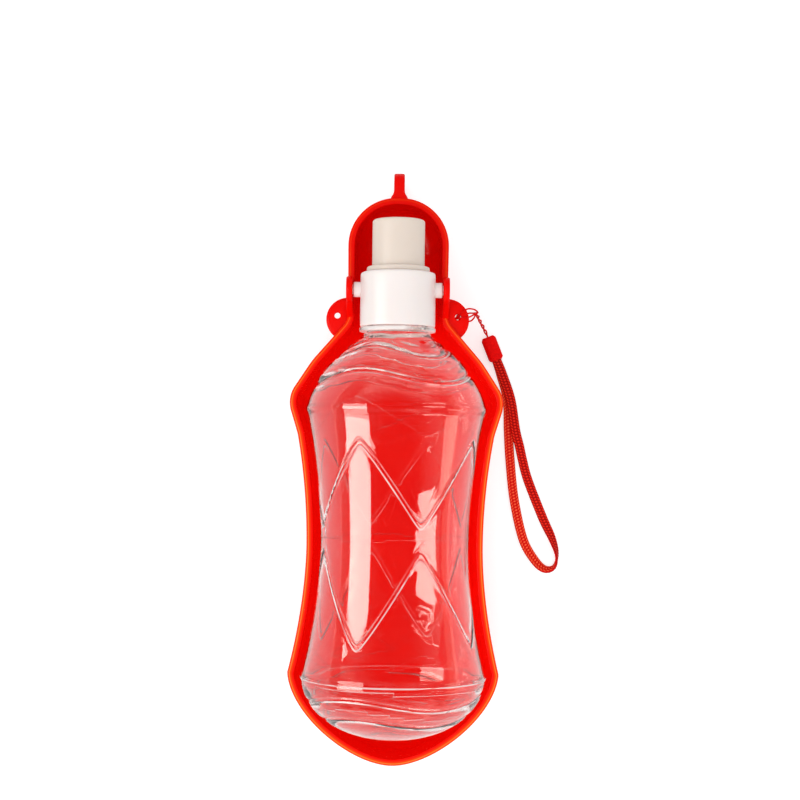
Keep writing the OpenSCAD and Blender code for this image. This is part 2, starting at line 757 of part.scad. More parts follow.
module strap_band() {
    line = smooth(band_route, 3);
    path = [for (p = line) [p[0], p[1], p[2] + band_z(p[3])]];
    sides = [for (i = [0:len(path) - 1])
        let(t = along(path, i), flat = unit([t[1], -t[0], 0]), up = cross(flat, t), roll = line[i][3])
        flat * cos(roll) - up * sin(roll)];
    w = band_w / 2;
    h = band_t / 2;
    b = 0.3;
    color(red) in_tray() swept(path, sides, [
        [w, -h + b], [w, h - b], [w - b, h], [b - w, h], [-w, h - b], [-w, b - h], [b - w, -h], [w - b, -h]
    ]);
}

function bezier(a, b, c, d, t) =
    a * pow(1 - t, 3) + 3 * b * pow(1 - t, 2) * t + 3 * c * (1 - t) * t * t + d * pow(t, 3);

ferrule_dir = [cos(ferrule_turn), sin(ferrule_turn), 0];
ferrule_mouth = [ferrule_from[0], ferrule_from[1], ferrule_z] - mouth_gap * ferrule_dir;
knot_middle = ferrule_mouth + (knot_at + mouth_gap) * ferrule_dir;
pair_end = knot_middle - (knot_r - 0.2) * ferrule_dir;

// Middle of the twisted pair, at share t of the way down from the ear: a curve, then straight.
function pair_middle(t) = t < 0.8
    ? bezier(pair_top, pair_bend, ferrule_mouth - string_lead * ferrule_dir, ferrule_mouth, t / 0.8)
    : mix(ferrule_mouth, pair_end, (t - 0.8) / 0.2);

// One of the two twisted strands.
function strand(t, turn) =
    let(
        a = 360 * pair_twists * t + turn,
        axis = unit(pair_middle(t + 0.01) - pair_middle(t)),
        u = unit(cross(axis, [0.3, 1, 0])),
        v = cross(axis, u)
    )
    pair_middle(t) + pair_r * (u * cos(a) + v * sin(a));

module strap_string() {
    mid = rim_z - rim_h - ear_t / 2;
    level = ear_t / 2 + string_d / 2 + string_gap;
    function round_ear(p) = [ear_out + p[0] * ear_r, ear_at + p[1] * ear_r, mid + p[2] * level];
    function in_hole(p, side) = [ear_out + ear_hole_out + p[0], ear_at - ear_hole_up + p[1], mid + side * level];
    turns = [for (k = [0, 1])
        each concat(
            [for (p = string_over[k]) round_ear(p)],
            [in_hole(string_passes[k], 1), in_hole(string_passes[k], -1)],
            [for (p = string_under[k]) round_ear(p)])];
    steps = 8 * pair_twists;
    route = concat(
        [for (i = [steps:-1:0]) strand(i / steps, 0)],
        turns,
        [for (i = [0:steps]) strand(i / steps, 180)]
    );
    color(red) in_tray() {
        swept(route, carried(route, [0, 0, 1]), [for (a = [0:45:315]) string_d / 2 * [cos(a), sin(a)]]);
        translate(knot_middle) sphere(r = knot_r, $fn = 32);
    }
}

module strap_ferrule() {
    w = slot_w / 2 + ferrule_wall;
    h = slot_h / 2 + ferrule_wall;
    r = 1.4;
    outline = [for (c = [[1, 1, 0], [-1, 1, 90], [-1, -1, 180], [1, -1, 270]], a = [0:15:90])
        [c[0] * (w - r) + r * cos(c[2] + a), c[1] * (h - r) + r * sin(c[2] + a)]];
    color(red) in_tray()
        translate([ferrule_from[0], ferrule_from[1], ferrule_z])
            rotate([90, 0, ferrule_turn + 90]) difference() {
                linear_extrude(ferrule_len) polygon(outline);
                translate([-slot_w / 2, -slot_h / 2, ferrule_len - slot_len])
                    cube([slot_w, slot_h, slot_len + over]);
                translate([0, 0, -over]) cylinder(r = pair_r + string_d / 2 + 0.15, h = ferrule_len);
            }
}

tray();
trunnion_lug(1);  // lug_right
trunnion_lug(-1);  // lug_left
ear(1);  // ear_right
ear(-1);  // ear_left
belt_clip();
screw_cap();
spout_base();
pull_spout();
spout_seal();
neck_gasket();
bottle_neck();
bottle_upper();
bottle_lower();
strap_string();
strap_ferrule();
strap_band();
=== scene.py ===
# %% [markdown]
# # A dog's travel water bottle
# The real thing is a clear squeeze bottle that lies in a red plastic tray. The bottle's screw cap
# has two pins that turn in the tray, so that the tray folds out as a drinking trough. The packed
# CAD model gives every place and size. This notebook gives each piece its finish and finer shape.

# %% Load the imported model
import json
import math

import bpy
import numpy as np
from mathutils import Matrix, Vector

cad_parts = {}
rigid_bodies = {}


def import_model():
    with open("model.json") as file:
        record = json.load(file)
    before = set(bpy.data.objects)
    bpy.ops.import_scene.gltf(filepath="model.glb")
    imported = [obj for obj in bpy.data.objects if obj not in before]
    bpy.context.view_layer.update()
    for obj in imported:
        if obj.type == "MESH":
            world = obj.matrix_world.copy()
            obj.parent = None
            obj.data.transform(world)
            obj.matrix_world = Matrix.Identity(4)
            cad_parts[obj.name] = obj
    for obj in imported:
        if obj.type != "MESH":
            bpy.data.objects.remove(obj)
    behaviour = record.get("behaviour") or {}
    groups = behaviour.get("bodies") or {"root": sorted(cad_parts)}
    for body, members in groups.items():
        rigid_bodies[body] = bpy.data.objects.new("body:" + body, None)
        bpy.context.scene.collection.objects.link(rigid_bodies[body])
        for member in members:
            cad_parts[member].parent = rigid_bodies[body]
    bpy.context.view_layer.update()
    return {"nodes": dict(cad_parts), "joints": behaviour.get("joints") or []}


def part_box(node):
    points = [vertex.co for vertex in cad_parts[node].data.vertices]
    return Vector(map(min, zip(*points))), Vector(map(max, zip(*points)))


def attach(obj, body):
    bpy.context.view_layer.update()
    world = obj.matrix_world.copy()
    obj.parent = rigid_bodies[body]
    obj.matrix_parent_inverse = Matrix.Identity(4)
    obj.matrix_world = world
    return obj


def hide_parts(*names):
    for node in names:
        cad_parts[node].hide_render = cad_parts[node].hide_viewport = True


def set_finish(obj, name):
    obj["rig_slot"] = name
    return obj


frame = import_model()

for name in sorted(frame["nodes"]):
    low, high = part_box(name)
    print(name, "is", [round(1000 * (b - a), 1) for a, b in zip(low, high)], "mm")

# %% [markdown]
# ## One set of coordinates
# Everything on this object is easiest to describe from the trunnion pins: how far out from the
# middle, how far along the bottle towards its base, and how high above the table. All shapes below
# are worked out in those three, in millimetres, and `to_frame` turns them into the model's metres.

# %% Coordinates
MM = 0.001
fold = next(joint for joint in frame["joints"] if joint["name"] == "tray_fold")
pivot_y = fold["pos_m"][1] / MM
pivot_z = fold["pos_m"][2] / MM


def to_frame(points):
    """(out, along, height) in mm to (x, y, z) in metres: y = pivot_y - along."""
    points = np.asarray(points, float)
    return np.stack([points[..., 0], pivot_y - points[..., 1], points[..., 2]], -1) * MM


def on_axis(radius, along, turn):
    """A point at a radius from the bottle's axis. Turn 0 is up, and it grows to the right."""
    return np.stack(np.broadcast_arrays(radius * np.sin(turn), along, pivot_z + radius * np.cos(turn)), -1)


print("trunnion axis at y", pivot_y, "z", pivot_z)

# %% [markdown]
# ## The camera
# The photograph looks straight down. Vertical lines meet at one point of the picture, a little below
# its middle, so the camera hangs over that point and its sensor is shifted, as a copy stand's would
# be. The object leans by under a degree, and the camera turns by as much.

# %% Camera
image_px = 800
camera_far = 700                # from the trunnion axis, mm
mm_per_px = 0.41                # at the height of the trunnion axis
axis_px = 395.7                 # the bottle's axis, across the picture
plumb_px = (398, 461)           # where the camera points straight down
plumb_along = 70.1              # the same place on the object, from the trunnion axis
lean = 0.78                     # degrees
sensor_mm = 36

camera = bpy.data.objects.new("camera", bpy.data.cameras.new("camera"))
bpy.context.scene.collection.objects.link(camera)
bpy.context.scene.camera = camera
camera.location = to_frame([(plumb_px[0] - axis_px) * mm_per_px, plumb_along, pivot_z + camera_far])
camera.rotation_euler = (0, 0, math.radians(lean))
camera.data.sensor_width = sensor_mm
camera.data.lens = sensor_mm * camera_far / (image_px * mm_per_px)
camera.data.shift_x = (image_px / 2 - plumb_px[0]) / image_px
camera.data.shift_y = (plumb_px[1] - image_px / 2) / image_px
camera.data.clip_start = 0.01
camera.data.clip_end = 10
print("lens", round(camera.data.lens, 1), "mm, shift", round(camera.data.shift_y, 4))

# %% [markdown]
# ## Meshes from arrays
# Each new piece is a stack of closed rings, so one function can turn any of them into a mesh. The
# rings may close on themselves like a tyre's, run to a point at each end, or end in a flat lid. The
# signed volume tells whether the faces point outwards, and they are turned over if it is negative.

# %% Ring meshes


def signed_volume(points, triangles):
    """A sixth of the sum of a . (b x c) over the triangles."""
    a, b, c = (points[triangles[:, k]] for k in range(3))
    return np.einsum("ij,ij->", a, np.cross(b, c)) / 6


def surface(name, grid, joined=False, lids="point", lengths=None, marks=None):
    """A closed mesh from a grid of rings, grid[ring, place] in mm.

    lids: "point" runs each end ring to its own middle, "strips" closes a ring that is its own mirror
    image with bars across. lengths, if given, is each ring's distance along the piece in mm, and
    goes to the UV map with the place round the ring. marks, if given, is an attribute's name and a
    number for every point, for a material that follows the relief."""
    rings, around = grid.shape[:2]
    points = to_frame(grid.reshape(-1, 3))
    spans = np.meshgrid(np.arange(rings if joined else rings - 1), np.arange(around), indexing="ij")
    i, j = (numbers.ravel() for numbers in spans)
    up, right = (i + 1) % rings, (j + 1) % around
    quads = np.stack([i * around + j, i * around + right, up * around + right, up * around + j], -1)
    triangles = np.zeros((0, 3), int)
    last_ring = (rings - 1) * around
    if not joined and lids == "point":
        first = np.arange(around)
        last = first + last_ring
        middles = len(points) + np.arange(2)
        points = np.vstack([points, points[first].mean(0), points[last].mean(0)])
        triangles = np.vstack([
            np.stack([np.full(around, middles[0]), np.roll(first, -1), first], -1),
            np.stack([np.full(around, middles[1]), last, np.roll(last, -1)], -1)])
    if not joined and lids == "strips":
        k = np.arange(around // 2 - 1)
        mirror = around - 1 - k
        low = np.stack([mirror, mirror - 1, k + 1, k], -1)
        quads = np.vstack([quads, low, low[:, ::-1] + last_ring])
    turned = signed_volume(points, np.vstack([quads[:, [0, 1, 2]], quads[:, [0, 2, 3]], triangles])) < 0
    if turned:
        quads, triangles = quads[:, ::-1], triangles[:, ::-1]

    mesh = bpy.data.meshes.new(name)
    corners = np.concatenate([quads.ravel(), triangles.ravel()])
    starts = np.concatenate([4 * np.arange(len(quads)), 4 * len(quads) + 3 * np.arange(len(triangles))])
    mesh.vertices.add(len(points))
    mesh.vertices.foreach_set("co", points.ravel())
    mesh.loops.add(len(corners))
    mesh.loops.foreach_set("vertex_index", corners.astype(np.int32))
    mesh.polygons.add(len(starts))
    mesh.polygons.foreach_set("loop_start", starts.astype(np.int32))
    mesh.polygons.foreach_set("use_smooth", np.ones(len(starts), bool))
    mesh.update(calc_edges=True)
    if lengths is not None:
        place = np.stack([j, j + 1, j + 1, j], -1) / around
        uv = np.stack([place, np.asarray(lengths)[np.stack([i, i, up, up], -1)]], -1)
        uv = (uv[:, ::-1] if turned else uv).reshape(-1, 2)
        uv = np.vstack([uv, np.zeros((len(corners) - len(uv), 2))])
        mesh.uv_layers.new(name="UVMap").data.foreach_set("uv", uv.astype(np.float32).ravel())
    if marks is not None:
        numbers = np.resize(np.ravel(marks[1]), len(points)).astype(np.float32)
        mesh.attributes.new(marks[0], "FLOAT", "POINT").data.foreach_set("value", numbers)
    mesh.validate()
    piece = bpy.data.objects.new(name, mesh)
    bpy.context.scene.collection.objects.link(piece)
    print(name, "has", len(starts), "faces")
    return piece


# %% [markdown]
# Profiles and routes come next. A corner of a moulding is always a little round, so `rounded` puts a short
# curve at each corner of a line. `smooth` is the usual spline through given points, and `swept` carries a
# section along a route. Many sections are boxy, between a circle and a square.

# %% Lines and routes


def unit(vectors):
    """Vectors divided by their lengths."""
    return vectors / np.linalg.norm(vectors, axis=-1, keepdims=True)


def mix(a, b, share):
    """The value or point at a share of the way from a to b."""
    return np.asarray(a, float) + (np.asarray(b, float) - a) * share


def ease(share):
    """0 to 1 with flat ends: 3t^2 - 2t^3."""
    share = np.clip(share, 0, 1)
    return share * share * (3 - 2 * share)


def full_turn(count):
    """The angles of a whole turn in equal steps."""
    return 2 * np.pi * np.arange(count) / count


def boxy(turn, power):
    """The cosine and sine of a turn, each to a power with its sign kept: 1 is a circle, 0 a square."""
    return (np.sign(np.cos(turn)) * np.abs(np.cos(turn)) ** power,
            np.sign(np.sin(turn)) * np.abs(np.sin(turn)) ** power)


def rounded(corners, radii, steps=5):
    """A line with each inner corner replaced by the curve a(1-t)^2 + 2bt(1-t) + ct^2."""
    p = np.asarray(corners, float)
    before, after = p[:-2] - p[1:-1], p[2:] - p[1:-1]
    longest = 0.49 * np.minimum(np.linalg.norm(before, axis=1), np.linalg.norm(after, axis=1))
    reach = np.minimum(radii, longest)[:, None]
    a, c = p[1:-1] + unit(before) * reach, p[1:-1] + unit(after) * reach
    t = np.linspace(0, 1, steps)[None, :, None]
    curves = a[:, None] * (1 - t) ** 2 + 2 * p[1:-1, None] * t * (1 - t) + c[:, None] * t ** 2
    return np.vstack([p[:1], curves.reshape(-1, p.shape[1]), p[-1:]])


def run(line):
    """Distance along a line at each of its points."""
    return np.concatenate([[0], np.cumsum(np.linalg.norm(np.diff(line, axis=0), axis=1))])


def sampled(line, places, at):
    """A line's columns, known at places, read off at others."""
    return np.stack([np.interp(at, places, column) for column in line.T], -1)


def spaced(line, gap):
    """The same line with points at most a gap apart, the old ones kept."""
    line = np.asarray(line, float)
    steps = np.maximum(1, np.ceil(np.linalg.norm(np.diff(line, axis=0), axis=1) / gap)).astype(int)
    at = np.concatenate([k + np.arange(n) / n for k, n in enumerate(steps)] + [[len(line) - 1]])
    return sampled(line, np.arange(len(line)), at)


def evenly(line, count):
    """A line's points moved along it to equal distances."""
    s = run(line[:, :3])
    return sampled(line, s, np.linspace(0, s[-1], count))


def smooth(points, steps):
    """A Catmull-Rom spline: each stretch is a cubic whose slopes follow the neighbouring points."""
    p = np.asarray(points, float)
    ends = np.vstack([p[:1], p, p[-1:]])
    a, b, c, d = (ends[k:len(p) - 1 + k, None] for k in range(4))
    u = (np.arange(steps) / steps)[None, :, None]
    cubic = 0.5 * (2 * b + (c - a) * u + (2 * a - 5 * b + 4 * c - d) * u ** 2
                   + (3 * b - a - 3 * c + d) * u ** 3)
    return np.vstack([cubic.reshape(-1, p.shape[1]), p[-1:]])


def headings(route):
    """Unit direction at each point, from its two neighbours."""
    return unit(np.gradient(route[:, :3], axis=0))


def swept(route, sides, section):
    """Rings of a section, (across, up) at each place, set along a route with given side vectors."""
    ups = np.cross(sides, headings(route))
    return route[:, None, :3] + section[..., :1] * sides[:, None] + section[..., 1:] * ups[:, None]


print("helpers ready")

# %% [markdown]
# ## The strap's cords
# Two free cords hang on the object, and they come first because their routes are fixed by the CAD
# model. A flat braided band makes the wrist loop. Both its ends go into a ferrule that lies on the
# table, one over the other. It is a ribbon that turns half over in the bend, so its route carries a
# roll angle as well as a place.

# %% The band's route
band_w, band_t = 4.2, 1.3
table_gap = 0.02
band_route = [
    (41.4, 21.9, 1.1, 0), (43, 26, 1.1, 0), (45, 32, 0.2, 0), (48, 43, 0, 0), (48.6, 56, 0, 0),
    (49.5, 69, 0, 0), (51.5, 86, 0, 0), (55.5, 103, 0, 8), (60.5, 112, 0, 22), (65, 116, 0, 45),
    (69, 115, 0, 78), (70.2, 110, 0, 105), (68.2, 103, 0, 140), (64, 94, 0, 168),
    (57.5, 78, 0, 180), (55, 69.5, 0.4, 180), (53.4, 63, 1.5, 180), (51.6, 56, 1.5, 180),
    (49.4, 43, 1.5, 180), (45.6, 32, 1.8, 180), (43, 26, 2.5, 180), (41.4, 21.9, 2.5, 180)]

band_line = evenly(smooth(band_route, 24), 900)
roll = np.radians(band_line[:, 3])
band_line[:, 2] += band_w / 2 * abs(np.sin(roll)) + band_t / 2 * abs(np.cos(roll)) + table_gap
heading = headings(band_line)
level = unit(np.stack([heading[:, 1], -heading[:, 0], 0 * roll], -1))
band_sides = level * np.cos(roll)[:, None] - np.cross(level, heading) * np.sin(roll)[:, None]
band_run = run(band_line[:, :3])
print("band is", round(band_run[-1], 1), "mm long")

# %% [markdown]
# The band is braided flat. Seen close, it is three rows of slanted stitches, and each row leans the
# other way from the next. A texture could only shade them, so the stitches are raised in the mesh:
# every stitch is a small swelling that runs out at its ends and at the row's edges.

# %% Braided band
stitch_rows, stitch_pitch, stitch_h = 3, 1.3, 0.2
stitch_slant = 1.1              # pitches from one side of a row to the other


def stitches(across, along):
    """Height of the braid, 0 to 1: rows |sin| across, times |sin| of a slanted phase along.

    The phase leans by the slant across a row, forwards in one row and back in the next."""
    row = (across + 1) / 2 * stitch_rows
    place = row - np.floor(row)
    lean_by = np.where(np.floor(row) % 2 == 0, place - 0.5, 0.5 - place)
    phase = along / stitch_pitch + 0.5 * (np.floor(row) % 2) + stitch_slant * lean_by
    return np.sin(np.pi * place) ** 0.6 * np.abs(np.sin(np.pi * phase)) ** 0.7


across, up = boxy(full_turn(56), 0.42)
raised = stitches(across[None, :], band_run[:, None])
thick = band_t / 2 - stitch_h * (1 - raised)
wide = band_w / 2 - 0.5 * stitch_h * (1 - raised)
band = surface("strap_band_braided", swept(band_line, band_sides, np.stack([across * wide, up * thick], -1)),
               lengths=band_run, marks=("raised", raised))
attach(band, "tray")
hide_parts("strap_band")
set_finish(band, "red_webbing")

# %% [markdown]
# The string is thin and twisted. It runs up from the ferrule, twice over the ear's edge and through
# its hole, and back down, its two halves twisted round each other. The same spline carries it, with
# side vectors that follow the route without spinning.

# %% The string's route
string_d = 0.7
ear_middle = np.array([20.8, 11.1, 26.3])
ear_r = 9.1
hole = np.array([25.2, 9.6, 26.3])
over_ear = 1.55                 # height of the string's middle over the middle of the ear
# Beside the ear's middle, in its radius across and along and in over_ear up
string_over = np.array([[[1.34, -0.48, -0.65], [1.16, -0.54, 0.58], [0.87, -0.52, 1]],
                        [[1.38, -0.38, -0.4], [1.23, -0.3, 0.65], [0.99, -0.17, 1]]])
string_under = np.array([[[0.94, -0.36, -1], [1.19, -0.38, -1.1]], [[1.01, 0, -1], [1.23, -0.16, -1.3]]])
string_passes = np.array([[0, -0.45, 0], [0.1, 0.5, 0]])        # beside the hole's middle, mm
ear_size = np.array([ear_r, ear_r, over_ear])
above = np.array([0, 0, over_ear])
ear_wraps = np.vstack([np.vstack([
    ear_middle + over * ear_size, hole + through + above,
    hole + through - above, ear_middle + under * ear_size])
    for over, through, under in zip(string_over, string_passes, string_under)])

pair_top = np.array([33.2, 7.4, 23.4])
pair_bend = np.array([34, 8.8, 14])
pair_twists, pair_r = 3, 0.45
in_bore = 0.2                   # the share of a strand that lies straight in the ferrule's bore
string_lead = 4.5               # it runs straight for this length on its way into the ferrule
ferrule_from = np.array([39, 16, 2.5])
ferrule_turn = np.radians(68)
ferrule_dir = np.array([np.cos(ferrule_turn), np.sin(ferrule_turn), 0])
ferrule_mouth = ferrule_from - 0.5 * ferrule_dir
pair_end = ferrule_from + 3.8 * ferrule_dir


def strand(t, turn):
    """A twisted strand: a middle line, plus pair_r times a direction that turns with t.

    The middle line is a Bezier curve down to the ferrule's mouth, and straight in the bore."""
    t = np.asarray(t, float)[:, None]
    u = np.minimum(t / (1 - in_bore), 1)
    points = np.stack([pair_top, pair_bend, ferrule_mouth - string_lead * ferrule_dir, ferrule_mouth])
    weights = np.stack([(1 - u) ** 3, 3 * (1 - u) ** 2 * u, 3 * (1 - u) * u ** 2, u ** 3])
    inward = np.maximum(0, (t - 1 + in_bore) / in_bore)
    middle = (weights * points[:, None]).sum(0) + (pair_end - ferrule_mouth) * inward
    axis = headings(middle)
    side = unit(np.cross(axis, [0.3, 1, 0]))
    angle = 2 * np.pi * pair_twists * t + turn
    return middle + pair_r * (side * np.cos(angle) + np.cross(axis, side) * np.sin(angle))


down = np.linspace(0, 1, 25)
string_line = evenly(smooth(np.vstack([strand(down, 0)[::-1], ear_wraps, strand(down, np.pi)]), 8), 800)
string_run = run(string_line)
print("string is", round(string_run[-1], 1), "mm long")

# %% [markdown]
# The string's section is three plies laid together, which turn as they go along. Three shallow
# lobes that turn with the distance are enough at this size.

# %% Twisted string
ply_pitch = 1.6
round_turn = full_turn(18)


def carried(route, side):
    """Side vectors without spin: each is the one before, made square to the next heading."""
    sides = np.zeros_like(route)
    for k, toward in enumerate(headings(route)):
        side = side - side.dot(toward) * toward
        side = side / np.linalg.norm(side)
        sides[k] = side
    return sides


lobe_turn = 1.5 * (round_turn[None, :] + 2 * np.pi * string_run[:, None] / ply_pitch)
ply = string_d / 2 * (0.9 + 0.1 * np.abs(np.cos(lobe_turn)))
string = surface("strap_string_twisted", swept(
    string_line, carried(string_line, np.array([0, 0, 1.0])),
    np.stack([ply * np.cos(round_turn), ply * np.sin(round_turn)], -1)), lengths=string_run)
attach(string, "tray")
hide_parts("strap_string")
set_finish(string, "red_string")

# %% [markdown]
# The photograph shows no light through the right ear's hole, so the string is taken to be knotted in
# it. A trefoil knot of the same string is the simplest, and it fits the hole.

# %% Knot in the ear
knot_size = 0.3
t = full_turn(160)
knot_line = hole + knot_size * np.stack([
    np.sin(t) + 2 * np.sin(2 * t), np.cos(t) - 2 * np.cos(2 * t), -2 * np.sin(3 * t)], -1)
knot_way = unit(np.roll(knot_line, -1, 0) - np.roll(knot_line, 1, 0))
knot_sides = unit(np.cross(knot_way, knot_line - hole))
knot_ups = np.cross(knot_sides, knot_way)
knot = surface("strap_string_knot", knot_line[:, None] + string_d / 2 * (
    np.cos(round_turn)[:, None] * knot_sides[:, None] + np.sin(round_turn)[:, None] * knot_ups[:, None]),
    joined=True)
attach(knot, "tray")
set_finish(knot, "red_string")

# %% [markdown]
# ## The tray
# The tray is one red moulding, and its outline seen from the front is the hardest shape here. It
# runs round the spout, pulls in at the trunnions, swells at the shoulder and follows the bottle to a
# blunt foot. The same few arcs and formulas as in the model give it, only with more points, because
# a glossy rim shows every corner.

# %% The bottle's line and the tray's outline
shoulder_root_at, shoulder_at, waist_at, hip_at, base_at = 17.3, 49.2, 105.6, 158.7, 183.7
neck_r, shoulder_r, waist_r, hip_r, base_ring_r = 12.45, 36.7, 30.4, 37.7, 10.3
foot_full = (base_at - hip_at) / math.sqrt(1 - (base_ring_r / hip_r) ** 2)


def body_radius(s):
    """Radius of the bottle at s: a dome, a falling side, a rising side, and part of an ellipse."""
    s = np.asarray(s, float)
    dome = np.clip((s - shoulder_root_at) / (shoulder_at - shoulder_root_at), 0, 1)
    fall = np.clip((waist_at - s) / (waist_at - shoulder_at), 0, 1)
    rise = np.clip((s - waist_at) / (hip_at - waist_at), 0, 1)
    foot = np.clip((s - hip_at) / foot_full, 0, 1)
    return np.select(
        [s < shoulder_at, s < waist_at, s < hip_at],
        [neck_r + (shoulder_r - neck_r) * (1 - (1 - dome) ** 1.65),
         waist_r + (shoulder_r - waist_r) * fall ** 2,
         waist_r + (hip_r - waist_r) * rise ** 1.8],
        hip_r * np.sqrt(1 - foot ** 2))


rim_out = 6.4                   # from the bottle to the rim's outer edge
rim_w, rim_h = 2.8, 2.6
tray_wall, floor_t = 2, 2.2
rim_z = pivot_z - 11
head_w, head_reach = 21.2, 39.6
head_arc_at = head_w - head_reach
foot_reach = 197.3
ramp_len = 26
swing_r = 35.3


def arc_corner(a, b, c, radius, steps=40, share=0.48):
    """A circular arc that rounds the corner at b, reaching back at most a share of each side."""
    a, b, c = (np.asarray(p, float) for p in (a, b, c))
    u, v = unit(a - b), unit(c - b)
    half = np.arccos(u @ v) / 2
    back = min(radius / np.tan(half), share * min(np.linalg.norm(a - b), np.linalg.norm(c - b)))
    middle = b + unit(u + v) * back * np.tan(half) / np.sin(half)
    start, end = b + u * back - middle, b + v * back - middle
    sweep = np.pi - 2 * half
    t = np.linspace(0, 1, steps)[:, None]
    return middle + (start * np.sin(sweep * (1 - t)) + end * np.sin(sweep * t)) / np.sin(sweep)


side_from = shoulder_at + 10
side_r = float(body_radius(side_from))
side_slope = side_r - float(body_radius(side_from + 1))
corner_at = shoulder_at - 5
corner = [side_r + rim_out + 1.9 + side_slope * (side_from - corner_at), corner_at]
notch = [head_w - 0.5, 11.6]
knee = [float(mix(notch[0], corner[0], 0.59)), float(mix(notch[1], corner[1], 0.52))]
head_corner = [head_w, -head_reach]
side = np.linspace(side_from, hip_at, 120)
blunt = np.radians(np.linspace(2, 88, 60))
half_outline = evenly(np.vstack([
    arc_corner([0, -head_reach], head_corner, notch, 20, share=0.96),
    arc_corner(head_corner, notch, knee, 8),
    arc_corner(notch, knee, corner, 40),
    arc_corner(knee, corner, [side_r + rim_out, side_from], 12),
    np.stack([body_radius(side) + rim_out, side], -1),
    np.stack([(hip_r + rim_out) * np.cos(blunt) * mix(0.7, 1, np.cos(blunt)),
              hip_at + (foot_reach - hip_at) * np.sin(blunt) ** 1.18], -1)]), 260)
outline = np.vstack([half_outline, half_outline[::-1] * [-1, 1]])
print("rim is", round(2 * half_outline[:, 0].max(), 1), "mm wide and",
      round(foot_reach + head_reach, 1), "mm long")

# %% [markdown]
# The wall drops from the rim, a little inwards, and turns into a flat floor. Towards the head the
# floor climbs, and then curves up as a part of the circle that the spout's tip swings on. The rim is
# a round bead. So the section goes across the floor's edge, up inside, over the bead and down
# outside, and at every step it is an inset, a share of the way out from the middle line, and a depth.

# %% Tray shell


def underside(s):
    """Height of the tray's underside: flat, then a parabola, then the spout's circle."""
    at_pivot = pivot_z - swing_r - floor_t
    circle = at_pivot + swing_r - np.sqrt(swing_r ** 2 - np.minimum(s, 0) ** 2)
    return np.where(s > ramp_len, 0, np.where(s > 0, at_pivot * (1 - s / ramp_len) ** 2, circle))


bead_r = 1.1
turn_in = np.radians(np.linspace(90, 0, 22))
wall_curve = np.vstack([
    np.stack([mix(0.5, 0.96, np.cos(turn_in)), mix(0.45, 1, np.sin(turn_in))], -1),
    [[0.97, 0.34], [0.98, 0.225], [0.99, 0.11]]])
bead = rounded([(rim_w, bead_r), (rim_w, 0), (0, 0), (0, rim_h), (rim_w - tray_wall, rim_h)],
               [bead_r, 1.2, 0.35], 9)
count = len(wall_curve)
# Inset, share of the way out, share of the depth, lift over the underside, drop below the rim
inside = np.column_stack([np.full(count, rim_w), wall_curve, np.full(count, floor_t), np.full(count, bead_r)])
over = np.column_stack([bead[:, 0], np.ones(len(bead)), np.zeros((len(bead), 2)), bead[:, 1]])
outside = np.column_stack([np.full(count, rim_w - tray_wall), wall_curve,
                           np.zeros(count), np.full(count, rim_h)])
shell_section = np.vstack([inside, over, outside[::-1]])

ring_way = unit(np.roll(outline, -1, 0) - np.roll(outline, 1, 0))
outwards = np.stack([ring_way[:, 1], -ring_way[:, 0]], -1)
inset, out_share, depth, lift, drop = (shell_section[:, k, None] for k in range(5))
edge = outline - inset[..., None] * outwards
spine_at = np.clip(outline[:, 1], head_arc_at, hip_at)
shell = np.stack([
    edge[..., 0] * out_share,
    mix(spine_at, edge[..., 1], out_share),
    mix(rim_z - drop, underside(spine_at) + lift, depth)], -1)
# How far out on the rim's bead each point lies, the mark that lays painted light and a painted highlight on
# the rim's outer half.
edge_share = np.zeros(len(shell_section))
edge_share[count:count + len(bead)] = 1 - bead[:, 0] / rim_w
tray = surface("tray_shell", shell, lids="strips", marks=("edge", np.repeat(edge_share, len(outline))))
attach(tray, "tray")
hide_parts("tray")
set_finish(tray, "red_shell")

# %% [markdown]
# Two lugs stand on the rim and carry the pins, and two ears with small holes lie against the wall
# below them. All four are flat plates with one round hole. Seen from its hole, each plate's edge lies
# at one distance in every direction, so a plate is a ring of sections round the hole: along one
# face, round the edge, back along the other and through the hole.

# %% Lugs and ears


def plate(middle, across, up, reach, hole_r, thick, edge_r, crown=0, bevel=0.15):
    """Rings of a plate round its hole. reach is the distance to its edge at each angle.

    The face falls from the hole to the edge by crown times the square of the share of the way."""
    angle = full_turn(len(reach))
    way = np.cos(angle)[:, None] * across + np.sin(angle)[:, None] * up
    normal = np.cross(across, up)
    corner_turn = np.radians(np.linspace(0, 180, 13))
    shares = np.linspace(0, 1, 9)[1:]
    face_from = hole_r + bevel
    rings = []
    for distance, direction in zip(reach, way):
        flat = face_from + shares * (distance - edge_r - face_from)
        height = thick / 2 - crown * (flat / distance) ** 2
        line = np.vstack([
            [[hole_r, thick / 2 - bevel], [face_from, thick / 2]], np.stack([flat, height], -1),
            np.stack([distance - edge_r + edge_r * np.sin(corner_turn),
                      (thick / 2 - crown) * np.cos(corner_turn)], -1),
            np.stack([flat, -height], -1)[::-1], [[face_from, -thick / 2], [hole_r, bevel - thick / 2]]])
        rings.append(middle + line[:, :1] * direction + line[:, 1:] * normal)
    return np.array(rings)


def reach_within(angle, radius, offset, planes):
    """Distance along each angle to a circle, whose centre is at an offset, or to a nearer line.

    A line is (normal, distance): the plate lies where normal . p is less than the distance."""
    way = np.stack([np.cos(angle), np.sin(angle)], -1)
    along_way = way @ np.asarray(offset, float)
    best = along_way + np.sqrt(along_way ** 2 - np.dot(offset, offset) + radius ** 2)
    for normal, distance in planes:
        slope = way @ np.asarray(normal, float)
        best = np.minimum(best, np.where(slope > 1e-6, distance / np.maximum(slope, 1e-6), 1e9))
    return best


